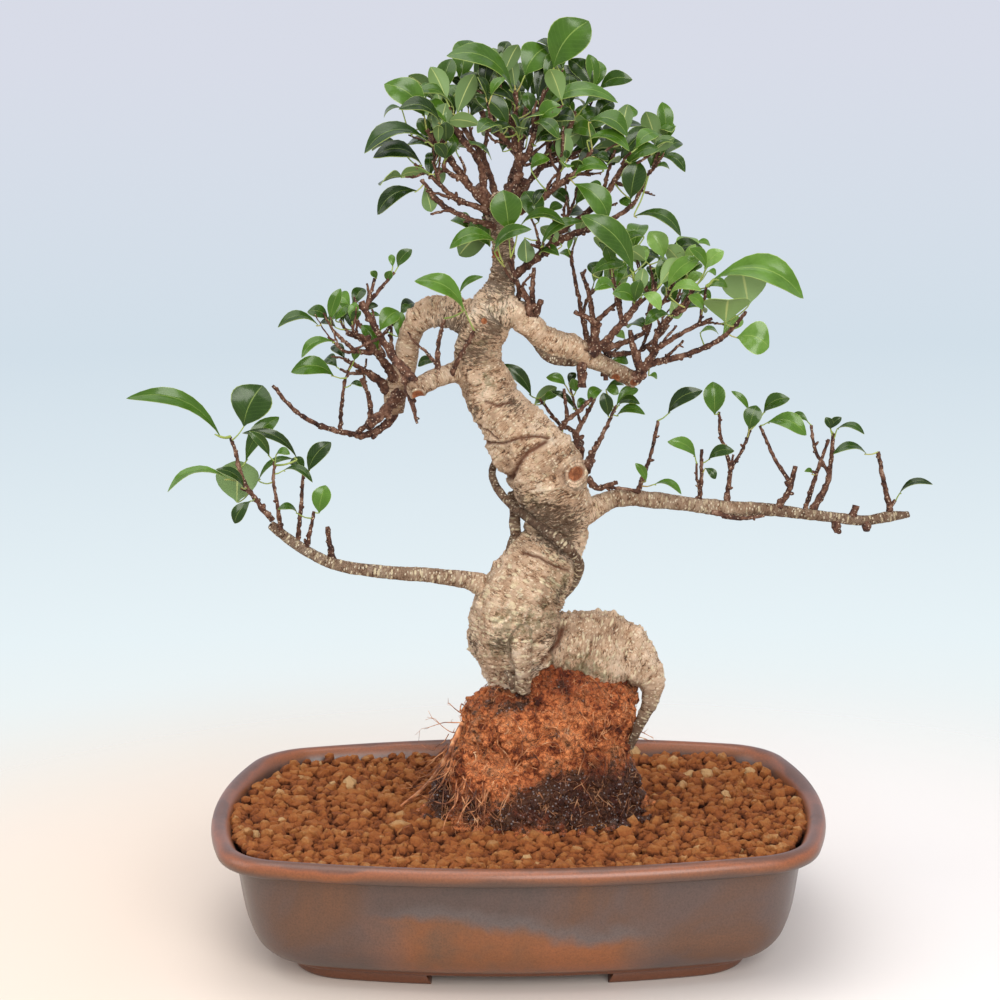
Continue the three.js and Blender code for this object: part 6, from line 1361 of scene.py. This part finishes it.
    "right_tip": ([
        [(78, 5, 337, 3.2), (100, 1, 343, 2.4), (118, -5, 352, 2), (126, -8, 360, 1.7),
         (132, -10, 368, 1.4)],
        [(87, 4, 340, 1.5), (97, -2, 351, 1.1)],
    ], [
        (120, -16, 362, 120, -30, 377, 26, -0.3), (127, -8, 353, 145, -12, 348, 19, 0.05),
        (120, 2, 354, 132, 6, 362, 9, 0.1), (107, 2, 355, 118, 6, 354, 5, 0.6),
        (78, 8, 330, 83, 10, 328, 4, 0.4),
    ]),
    "right_behind": ([
        [(53, 8, 342, 3), (62, 16, 342, 2.2), (74, 22, 343, 1.8), (86, 28, 353, 1.5),
         (95, 32, 364, 1.3)],
        [(74, 22, 343, 1.6), (80, 32, 356, 1.3), (81, 36, 369, 1.1)],
    ], [
        (56, 18, 337, 67, 22, 336, 6, 0.1), (65, 20, 350, 60, 24, 353, 5, 0.1),
        (98, 32, 368, 111, 40, 377, 10, 0.3), (94, 32, 369, 89, 38, 380, 10, 0.2),
        (83, 38, 371, 73, 46, 378, 10, 0.4), (82, 41.6, 372, 88, 55, 385, 9, 0.2),
        (98, 38.4, 364, 114, 52, 363, 14, 0.6), (78, 32, 354, 68, 44, 355, 11, 0.6),
    ]),
    "left_knob": ([
        [(-69, -9, 344, 3.1), (-77, -8, 358, 2.7), (-83, -9, 369, 2.5), (-86, -9, 376, 3.4)],
        [(-83, -9, 372, 1.9), (-80, -9, 382, 1.5), (-78, -9, 389, 1.2)],
        [(-83, -8, 374, 1.7), (-74, -7, 384, 1.4), (-67, -6, 392, 1.2)],
    ], [
        (-77, -10, 389, -80, -13, 393, 4, 0.2), (-65, -6, 395, -57, -8, 405, 7, 0.05),
        (-68, -4, 395, -69, -2, 402, 4, 0.05), (-71, -6, 387, -69, -8, 393, 5, 0.1),
        (-83, -2, 370, -77, 0, 373, 4, 0.3), (-83, 0, 365, -76, 2, 367, 4, 0.5),
    ]),
    "left_fan": ([
        [(-81, 1, 348, 4.2), (-87, -4, 355, 3.2), (-95, -8, 358, 1.9)],
        [(-81, 0, 346, 2.8), (-90, -8, 348, 2.1), (-94, -12, 352, 1.8), (-102, -15, 360, 1.3)],
        [(-87, -4, 354, 1.8), (-90, -12, 359, 1.4), (-91, -14, 363, 1.1)],
        [(-89, -7, 348, 1.6), (-95, -16, 348, 1.3), (-100, -20, 353, 1)],
        [(-93, -7, 357, 1.5), (-97, -2, 361, 1.2), (-99, 0, 365, 1)],
    ], [
        (-110, -16, 363, -132, -24, 364, 8, 0.55), (-105, -10, 366, -116, -14, 371, 8, 0.3),
        (-103, -16, 366, -97, -18, 384, 7, 0.05), (-101, -6, 365, -94, -4, 374, 8, 0.1),
        (-91, -13.2, 365, -89, -13, 376, 6, 0.1), (-91, -14, 365, -86, -16, 371, 5, 0.1),
        (-101, -20, 354, -119, -28, 347, 7, 0.5), (-101, -6, 361, -110, -4, 364, 5, 0.4),
        (-97, 4, 363, -104, 12, 373, 8, 0.2), (-92, 2, 359, -96, 4, 373, 7, 0.1),
    ]),
    "left_back": ([
        [(-75, 10, 342, 3), (-79, 14, 351, 2.2), (-78, 14, 357, 1.6)],
        [(-79, 14, 349, 1.7), (-88, 22, 358, 1.5), (-94, 28, 367, 1.2)],
        [(-78, 14, 351, 1.6), (-71, 26, 359, 1.4), (-67, 30, 363, 1.2)],
    ], [
        (-78, 7.2, 347, -87, 7, 361, 8, 0.05), (-77, 12, 357, -66, 18, 368, 11, 0.1),
        (-66, 28, 357, -71, 30, 366, 7, 0.1), (-67, 20, 353, -65, 24, 367, 7, 0.05),
        (-65, 30, 365, -60, 32, 370, 5, 0.3), (-95, 30, 369, -104, 38, 375, 9, 0.3),
        (-93, 30, 370, -87, 36, 380, 8, 0.2), (-95, 25.2, 364, -108, 25, 363, 12, 0.6),
        (-66, 34, 364, -56, 44, 369, 10, 0.4),
    ]),
    "left_low_fan": ([
        [(-83, 10, 332, 2.8), (-88, 6, 336, 2.1), (-97, 2, 342, 1.4)],
        [(-86, 8, 334, 1.8), (-94, 16, 332, 1.4), (-101, 22, 334, 1.1)],
    ], [
        (-97, 4, 342, -105, 10, 349, 7, 0.3), (-103, 24, 335, -112, 32, 338, 9, 0.4),
    ]),
    "left_low_shoot": ([
        [(-88, 10, 296, 2.5), (-95, 8, 298, 2.4), (-103, 6, 300, 2.2), (-113, 3, 304, 2),
         (-126, -1, 313, 1.8), (-138, -5, 328, 1.5)],
        [(-101, 7, 299, 1.9), (-99, 4, 318, 1.5), (-97, 2, 329, 1.1), (-93, 0, 340, 0.9)],
        [(-93, 9, 297, 2.2), (-84, 12, 305, 2.2), (-84, 11, 319, 2.1), (-88, 8, 330, 1.8)],
    ], [
        (-103, -4, 333, -126, -14, 337, 11, 0.2), (-94, 0, 327, -87, -4, 327, 4, 0.5),
        (-91, -4, 342, -88, -8, 349, 5, 0.1),
    ]),
    "left_middle": ([
        [(-43, -12, 332, 2.8), (-43, -10, 348, 1.9), (-39, -12, 366, 1.4)],
        [(-43, -11, 339, 1.7), (-50, -8, 347, 1.4), (-54, -6, 350, 1.1)],
    ], [
        (-28, -18, 371, -54, -28, 389, 12, 0.35), (-44, -2, 340, -55, 0, 338, 6, 0.3),
    ]),
    "left_middle_right": ([
        [(-36, -8, 333, 2.6), (-29, -12, 347, 1.8), (-22, -13, 359, 1.4)],
    ], [
        (-30, -14, 380, -17, -18, 390, 4, 0.3),
    ]),
    "low_left_tip": ([
        [(-139, -17, 252, 2.7), (-142, -18, 256, 2.4), (-147, -18, 263, 2.3), (-153, -17, 271, 2.1),
         (-157, -16, 281, 1.9), (-159, -15, 291, 1.6), (-162, -14, 300, 1.2)],
    ], [
        (-167, -20, 301, -216, -36, 326, 10, 0.3), (-154, -14, 306, -143, -12, 329, 24, 0.02),
        (-154, -10, 285, -135, -4, 310, 10, 0.1), (-150, -28, 265, -159, -32, 253, 8, 0.05),
        (-162, -30, 278, -195, -40, 274, 7, 0.6), (-154, -26, 272, -167, -38, 285, 6, 0.3),
        (-160, -8, 261, -160, 0, 284, 25, -0.05),
    ]),
    "low_left_shoot_1": ([
        [(-134, -20, 247, 2.2), (-135, -25, 262, 1.6), (-137, -25, 277, 1.4),
         (-136, -23, 287, 1.2)],
    ], [
        (-139, -24, 290, -149, -30, 305, 6, 0.1), (-124, -16, 287, -153, -26, 304, 6, 0.3),
        (-135, -24, 291, -127, -28, 292, 5, 0.4), (-147, -10, 274, -128, -4, 286, 4, 0.4),
        (-131, -26, 282, -114, -34, 277, 5, 0.5),
    ]),
    "low_left_shoot_2": ([
        [(-125, -16, 238, 2.2), (-123, -14, 256, 1.7), (-121, -12, 279, 1.3)],
    ], [
        (-121, -10, 278, -128, -6, 286, 8, 0.1), (-118, -12, 279, -105, -12, 296, 10, 0.15),
    ]),
    "low_left_shoot_3": ([
        [(-120, -17, 235, 2.2), (-117, -18, 247, 1.7), (-115, -18, 257, 1.4)],
    ], [
        (-112, -18, 256, -108, -18, 272, 11, 0.05), (-124, -24, 257, -134, -30, 261, 5, 0.5),
    ]),
    "low_right_a": ([
        [(71, 11, 259, 2.4), (76, 9, 274, 1.8), (80, 8, 287, 1.5), (83, 6, 304, 1.3)],
    ], [
        (89, 6, 308, 108, 0, 322, 9, 0.15), (76, 4, 269, 70, 0, 280, 5, 0.1),
        (81, 4, 267, 96, -4, 263, 5, 0.5),
    ]),
    "low_right_b": ([
        [(108, 16, 254, 2.4), (109, 14, 270, 1.7), (109, 13, 286, 1.4)],
        [(108, 15, 262, 1.4), (106, 12, 270, 1.2), (106, 11, 278, 1)],
    ], [
        (105, 10, 282, 89, 4, 292, 8, 0.2), (113, 12, 280, 127, 6, 286, 7, 0.2),
        (111, 12, 275, 117, 10, 269, 5, 0.1),
    ]),
    "low_right_c": ([
        [(124, 18, 251, 2.8), (125, 18, 262, 2.2), (126, 17, 273, 1.9), (123, 15, 285, 1.6),
         (120, 13, 294, 1.4), (119, 12, 308, 1.2)],
        [(126, 17, 273, 1.8), (133, 19, 284, 1.5), (138, 20, 296, 1.3)],
        [(126, 17, 274, 1.5), (128, 18, 282, 1.1)],
    ], [
        (116, 8, 307, 115, 8, 326, 13, 0.03), (137, 22, 307, 127, 20, 319, 4, 0.1),
        (137, 16, 297, 141, 16, 311, 11, 0.05), (146, 22, 306, 160, 16, 315, 9, 0.25),
    ]),
    "low_right_d": ([
        [(153, 20, 248, 3.2), (160, 18, 259, 2.6), (164, 16, 275, 2.1)],
        [(162, 18, 264, 2), (153, 21, 278, 1.6), (147, 23, 291, 1.4), (144, 24, 298, 1.2)],
    ], [
        (148, 22, 300, 170, 14, 294, 11, 0.25),
    ]),
    "low_right_e": ([
        [(175, 23, 247, 3.4), (184, 26, 263, 2.7), (186, 26, 275, 2), (187, 24, 293, 1.6)],
        [(185, 26, 269, 1.8), (177, 29, 283, 1.5), (175, 31, 297, 1.3)],
    ], [
        (185, 22, 296, 182, 20, 303, 5, 0.1), (185, 22, 296, 191, 20, 303, 5, 0.1),
        (189, 22, 296, 204, 16, 294, 5, 0.5), (173, 31, 299, 163, 34, 302, 5, 0.3),
    ]),
    "low_right_e_front": ([
        [(171, 22, 249, 2.2), (177, 17, 272, 1.7), (183, 14, 291, 1.3)],
    ], [
        (174, 16, 270, 169, 10, 273, 3, 0.3),
    ]),
    "low_right_f": ([
        [(222, 26, 244, 3), (217, 24, 264, 2.2), (213, 22, 282, 1.7)],
        [(221, 26, 248, 2), (224, 24, 253, 1.4)],
    ], [
        (206, 20, 281, 186, 14, 283, 6, 0.5), (226, 22, 257, 244, 16, 264, 5, 0.5),
    ]),
    "middle_a": ([
        [(44, 15, 281, 2.8), (51, 19, 293, 2.1), (60, 23, 311, 1.4)],
    ], [
        (55, 20, 305, 52, 18, 319, 8, 0.05), (60, 24, 311, 73, 28, 320, 7, 0.15),
        (61, 22, 311, 73, 16, 313, 6, 0.4), (60, 21.2, 305, 76, 15, 307, 6, 0.4),
        (54, 26, 320, 65, 32, 322, 4, 0.3), (54, 26, 320, 61, 22, 318, 6, 0.1),
    ]),
    "middle_b": ([
        [(36, 18, 295, 2.2), (42, 17, 306, 1.7), (48, 15, 318, 1.2)],
        [(39, 17, 301, 1.4), (36, 18, 310, 1.2), (33, 18, 322, 0.9)],
    ], [
        (51, 14, 321, 43, 8, 317, 7, 0.2), (42, 14, 315, 37, 8, 312, 5, 0.2),
        (30, 16, 324, 19, 14, 329, 6, 0.1), (32, 18, 325, 36, 18, 331, 5, 0.1),
        (36, 16, 320, 34, 12, 328, 6, 0.05), (35, 14, 310, 22, 12, 321, 4, 0.2),
    ]),
    "middle_c": ([
        [(37, 16, 293, 2.4), (34, 20, 297, 1.9), (27, 24, 300, 1.7), (18, 28, 311, 1.3),
         (15, 28, 315, 1)],
    ], [
        (10, 24, 317, -7, 20, 336, 8, 0.15), (12, 30, 311, 25, 34, 321, 8, -0.1),
        (18, 24, 314, 25, 20, 318, 5, 0.2), (27, 30, 286, 22, 34, 292, 4, 0.1),
    ]),
    "middle_low": ([
        [(38, 14, 279, 2.6), (40, 26, 284, 1.6)],
    ], [
        (40, 28, 283, 31, 34, 284, 7, 0.1),
    ]),
}

# Ficus leaves: leathery, glossy dark green above with a pale midrib and a thin yellow-green edge,
# dull grey green below. The blade is folded along its midrib and arched; u runs across, v along.
leaf_green, tree, shader = new_material(
    "leaf_upper_side", IOR=1.45, Specular_IOR_Level=0.22, Specular_Tint="#d9e4b8",
    Coat_Weight=0.36, Coat_Roughness=0.17)
lay = add_node(tree, "SeparateXYZ", [add_node(tree, "UVMap", uv_map="blade")])
off_rib = add_node(tree, "Math", [lay.outputs["X"], 0.5], operation="SUBTRACT")
from_rib = add_node(tree, "Math", [off_rib], operation="ABSOLUTE")
own_tone = add_node(tree, "Attribute", attribute_name="tone").outputs["Fac"]
here = add_node(tree, "TexCoord").outputs["Object"]
cells = add_node(tree, "TexNoise", {"Vector": here, "Scale": 110.0, "Detail": 3.0})
mottle = add_node(tree, "Math", [cells, 0.3, own_tone], operation="MULTIPLY_ADD")
blade_tone = add_node(tree, "ValToRGB", [mottle], stops=[
    (0.1, "#0f1e05"), (0.4, "#22390a"), (0.65, "#3b5a14"), (0.82, "#547628"), (1.0, "#76944a")])
vein_line = add_node(tree, "Math", [from_rib, -0.55, lay.outputs["Y"]], operation="MULTIPLY_ADD")
vein_count = add_node(tree, "Math", [vein_line, 62.0], operation="MULTIPLY")
vein_wave = add_node(tree, "Math", [vein_count], operation="SINE")
vein_share = add_node(tree, "MapRange", [vein_wave, 0.75, 1.0, 0.0, 0.045])
veined = add_node(tree, "MixRGB", [vein_share, blade_tone, "#86a857"])
rib_share = add_node(tree, "MapRange", [from_rib, 0.021, 0.007, 0.0, 0.3])
ribbed = add_node(tree, "MixRGB", [rib_share, veined, "#a9bd62"])
edge_share = add_node(tree, "MapRange", [from_rib, 0.476, 0.494, 0.0, 0.45])
edged = add_node(tree, "MixRGB", [edge_share, ribbed, "#b3c26a"])
wax = add_node(tree, "MapRange", [cells, 0.3, 0.7, 0.24, 0.36])
quilted = add_node(tree, "Math", [rib_share, -1.2, vein_share], operation="MULTIPLY_ADD")
quilt = add_node(tree, "Bump", {"Height": quilted, "Strength": 0.5, "Distance": 0.0005})
set_inputs(tree, shader, {"Base Color": edged, "Roughness": wax, "Normal": quilt})

leaf_back, tree, shader = new_material("leaf_underside", Roughness=0.55, Specular_IOR_Level=0.4)
lay = add_node(tree, "SeparateXYZ", [add_node(tree, "UVMap", uv_map="blade")])
off_rib = add_node(tree, "Math", [lay.outputs["X"], 0.5], operation="SUBTRACT")
from_rib = add_node(tree, "Math", [off_rib], operation="ABSOLUTE")
own_tone = add_node(tree, "Attribute", attribute_name="tone").outputs["Fac"]
back_tone = add_node(tree, "ValToRGB", [own_tone], stops=[
    (0.1, "#4f6634"), (0.6, "#6c8549"), (1.0, "#869e5f")])
rib_share = add_node(tree, "MapRange", [from_rib, 0.034, 0.014, 0.0, 0.7])
back_ribbed = add_node(tree, "MixRGB", [rib_share, back_tone, "#aeb56c"])
set_inputs(tree, shader, {"Base Color": back_ribbed})

stalk_skin, tree, shader = new_material("yellow_green_stalk", Roughness=0.45)
here = add_node(tree, "TexCoord").outputs["Object"]
ripe = add_node(tree, "TexNoise", {"Vector": here, "Scale": 45.0, "Detail": 2.0})
stalk_tone = add_node(tree, "ValToRGB", [ripe], stops=[
    (0.35, "#6f7f34"), (0.55, "#93a04c"), (0.7, "#a98f57")])
set_inputs(tree, shader, {"Base Color": stalk_tone})

# One blade: stations along it, share of its half width at each, and places across it.
stations = np.array([0, 0.08, 0.18, 0.3, 0.42, 0.54, 0.64, 0.74, 0.83, 0.91, 0.97, 1])
half_widths = np.array([0.03, 0.17, 0.44, 0.7, 0.88, 0.98, 1, 0.94, 0.78, 0.53, 0.24, 0.01])
across = np.array([-1, -0.66, -0.3, 0, 0.3, 0.66, 1])
blade_thickness, stalk_step = 0.42, 2.4
v_share, u_share = np.meshgrid(stations, across, indexing="ij")
wide = half_widths[:, None] * u_share
count_v, count_u = v_share.shape
cell = (np.arange(count_v - 1)[:, None] * count_u + np.arange(count_u - 1)).ravel()
upper = np.stack([cell, cell + 1, cell + count_u + 1, cell + count_u], axis=1)
layer = count_v * count_u
round_rim = [*range(count_u), *[row * count_u + count_u - 1 for row in range(1, count_v)],
             *[layer - 1 - step for step in range(1, count_u)],
             *[row * count_u for row in range(count_v - 2, 0, -1)]]
rim_faces = [[a, a + layer, b + layer, b] for a, b in zip(round_rim, round_rim[1:] + round_rim[:1])]
blade_faces = np.concatenate([upper, upper[:, ::-1] + layer, np.array(rim_faces)])
blade_side = np.array([1] * len(upper) + [2] * len(upper) + [1] * len(rim_faces))


def root_on_twigs(foot, lines, set_back):
    """Where a stalk leaves the twig nearest to its leaf's foot, a few millimetres further back."""
    best = (math.inf, None, None)
    for line in lines:
        for start, end in zip(line, line[1:]):
            start, end = np.array(start[:3], float), np.array(end[:3], float)
            step = end - start
            point = start + step * np.clip((foot - start) @ step / (step @ step), 0, 1)
            best = min(best, (np.linalg.norm(foot - point), tuple(point), tuple(start)))
    point, start = np.array(best[1]), np.array(best[2])
    room = np.linalg.norm(point - start)
    return point + (start - point) * (min(set_back / room, 0.8) if room > 0 else 0)


def blade_points(foot, tip, width, lift):
    """The points of one leaf's blade, upper side first."""
    axis = tip - foot
    length = np.linalg.norm(axis)
    axis = axis / length
    to_eye = np.array([0, 1.0 if lift < 0 else -1.0, 0.17])
    aim = to_eye * (1 - abs(lift)) + np.array([0, 0, abs(lift)])
    face = aim - axis * (aim @ axis)
    face /= np.linalg.norm(face)
    side = np.cross(face, axis)
    half = width / 2
    ripple = random.uniform(0.006, 0.02) * length
    waves = np.sin(v_share * random.uniform(7, 11) + random.uniform(0, 6) + 1.3 * np.sign(u_share))
    fold = random.uniform(0.26, 0.52) - 0.22 * v_share
    arch = ((np.array([0, 0, 1]) - axis * axis[2]) * 0.17 + face * 0.08) * (0.35 if lift < 0 else 1)
    bow = 4 * length * v_share * (1 - v_share)
    rise = half * (np.sqrt(wide ** 2 + 0.004) * fold - 0.1 * wide ** 4)
    rise = rise + ripple * waves * wide ** 2
    curl = -0.05 * length * np.clip(v_share - 0.8, 0, 1) * 5
    middle = foot + axis * (length * v_share[..., None]) + side * (half * wide[..., None])
    middle = middle + arch * bow[..., None]
    sheets = [middle + face * (rise + curl + sign * blade_thickness / 2)[..., None]
              for sign in (1, -1)]
    return np.concatenate([sheet.reshape(-1, 3) for sheet in sheets])


def leafy_stem(name, lines, leaves, usual_tone_and_light):
    """One spray: its twigs, stalks and blades joined as a single piece."""
    stem = knobbly_twigs(name, lines, thinner=0.7, gap=4.5, sides=8)
    stem.data.materials.append(young_bark)
    stalks, points, tones = [], [], []
    for order, (foot, tip, width, lift) in enumerate(leaves):
        foot, tip = np.array(foot, float), np.array(tip, float)
        root = root_on_twigs(foot, lines, stalk_step * (order % 3))
        into = foot + (tip - foot) * 0.06
        sag = (root + foot) / 2 - np.array([0, 0, 0.08 * np.linalg.norm(foot - root)])
        thick = np.clip(np.linalg.norm(tip - foot) / 55, 0.45, 0.9)
        stalks.append(smooth_line([(*root, thick * 1.15), (*sag, thick * 0.9),
                                   (*foot, thick * 0.85), (*into, 0.4)], 2))
        points.append(blade_points(foot, tip, width, lift))
        tones.append(np.clip(random.normal(usual_tone_and_light, 0.2), 0.0, usual_tone_and_light + 0.22))
    stalk_piece = round_wood(name + "_stalks", stalks, 6)
    stalk_piece.data.materials.append(stalk_skin)
    count = len(leaves)
    mesh = bpy.data.meshes.new(name + "_blades")
    faces = (blade_faces[None] + (np.arange(count) * 2 * layer)[:, None, None]).reshape(-1, 4)
    mesh.from_pydata(np.concatenate(points) / 1000 + pot_middle, [], faces)
    for material in (stalk_skin, leaf_green, leaf_back):
        mesh.materials.append(material)
    mesh.polygons.foreach_set("material_index", np.tile(blade_side, count))
    mark(mesh, "tone", np.repeat(tones, 2 * layer))
    one = np.column_stack([(u_share.ravel() + 1) / 2, v_share.ravel()])
    corner = np.tile(one, (2, 1))[blade_faces.ravel()]
    corners = np.tile(corner, (count, 1)).astype(np.float32)
    mesh.uv_layers.new(name="blade").data.foreach_set("uv", corners.ravel())
    blades = new_piece(name + "_blades", mesh)
    bpy.ops.object.shade_smooth_by_angle(angle=math.radians(55))
    choose(blades, stalk_piece, stem)
    bpy.ops.object.join()
    return stem


def side_shoots(lines, count, leaves_above):
    """Thin twigs on a stem's own ones, to fill a dense head, with small leaves above a height."""
    shoots, small = [], []
    for _ in range(count):
        line = np.array(lines[random.integers(len(lines))], float)
        at, share = random.integers(len(line) - 1), random.uniform(0.1, 0.95)
        root = line[at] * (1 - share) + line[at + 1] * share
        heading = (line[at + 1] - line[at])[:3]
        heading = heading / np.linalg.norm(heading)
        heading = heading + random.normal(0, 0.38, 3) + np.array([0, 0.22, 0.2])
        heading /= np.linalg.norm(heading)
        reach = random.uniform(9, 22)
        tip = root[:3] + heading * reach
        bend = root[:3] + heading * reach * 0.5 + random.normal(0, 1.1, 3)
        thick = min(root[3] * 0.8, 1.5)
        shoots.append([(*root[:3], thick), (*bend, thick * 0.8), (*tip, thick * 0.6)])
        for _ in range(random.integers(0, 3) if tip[2] > leaves_above else 0):
            way = heading * 0.7 + random.normal(0, 0.5, 3) + np.array([0, 0.1, 0.25])
            way /= np.linalg.norm(way)
            length = random.uniform(11, 22)
            foot = tip + way * random.uniform(1.5, 4)
            small.append((foot, foot + way * length, length * random.uniform(0.44, 0.62),
                          random.uniform(-0.5, 0.8)))
    return shoots, small


# For each dense head: extra twigs for each leaf, the height above which they carry leaves, and the
# usual tone of its leaves. The crown's are the darkest; the right head's are the palest, painted
# light for leaves that face the light.
dense_heads = {"crown": (1.0, 440, 0.29), "right": (0.5, 372, 0.58), "left": (0.6, 1000, 0.36)}
other_heads = (0, 0, 0.36)
for node, (lines, rows) in leafy_stems.items():
    share, leaves_above, usual_tone_and_light = dense_heads.get(node.split("_")[0], other_heads)
    shoots, small = side_shoots(lines, round(share * len(rows)), leaves_above)
    leaves = [(row[:3], row[3:6], *row[6:]) for row in rows] + small
    stem = leafy_stem("leafy_stem_" + node, lines + shoots, leaves, usual_tone_and_light)
    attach(stem, "root")
    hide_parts(node)
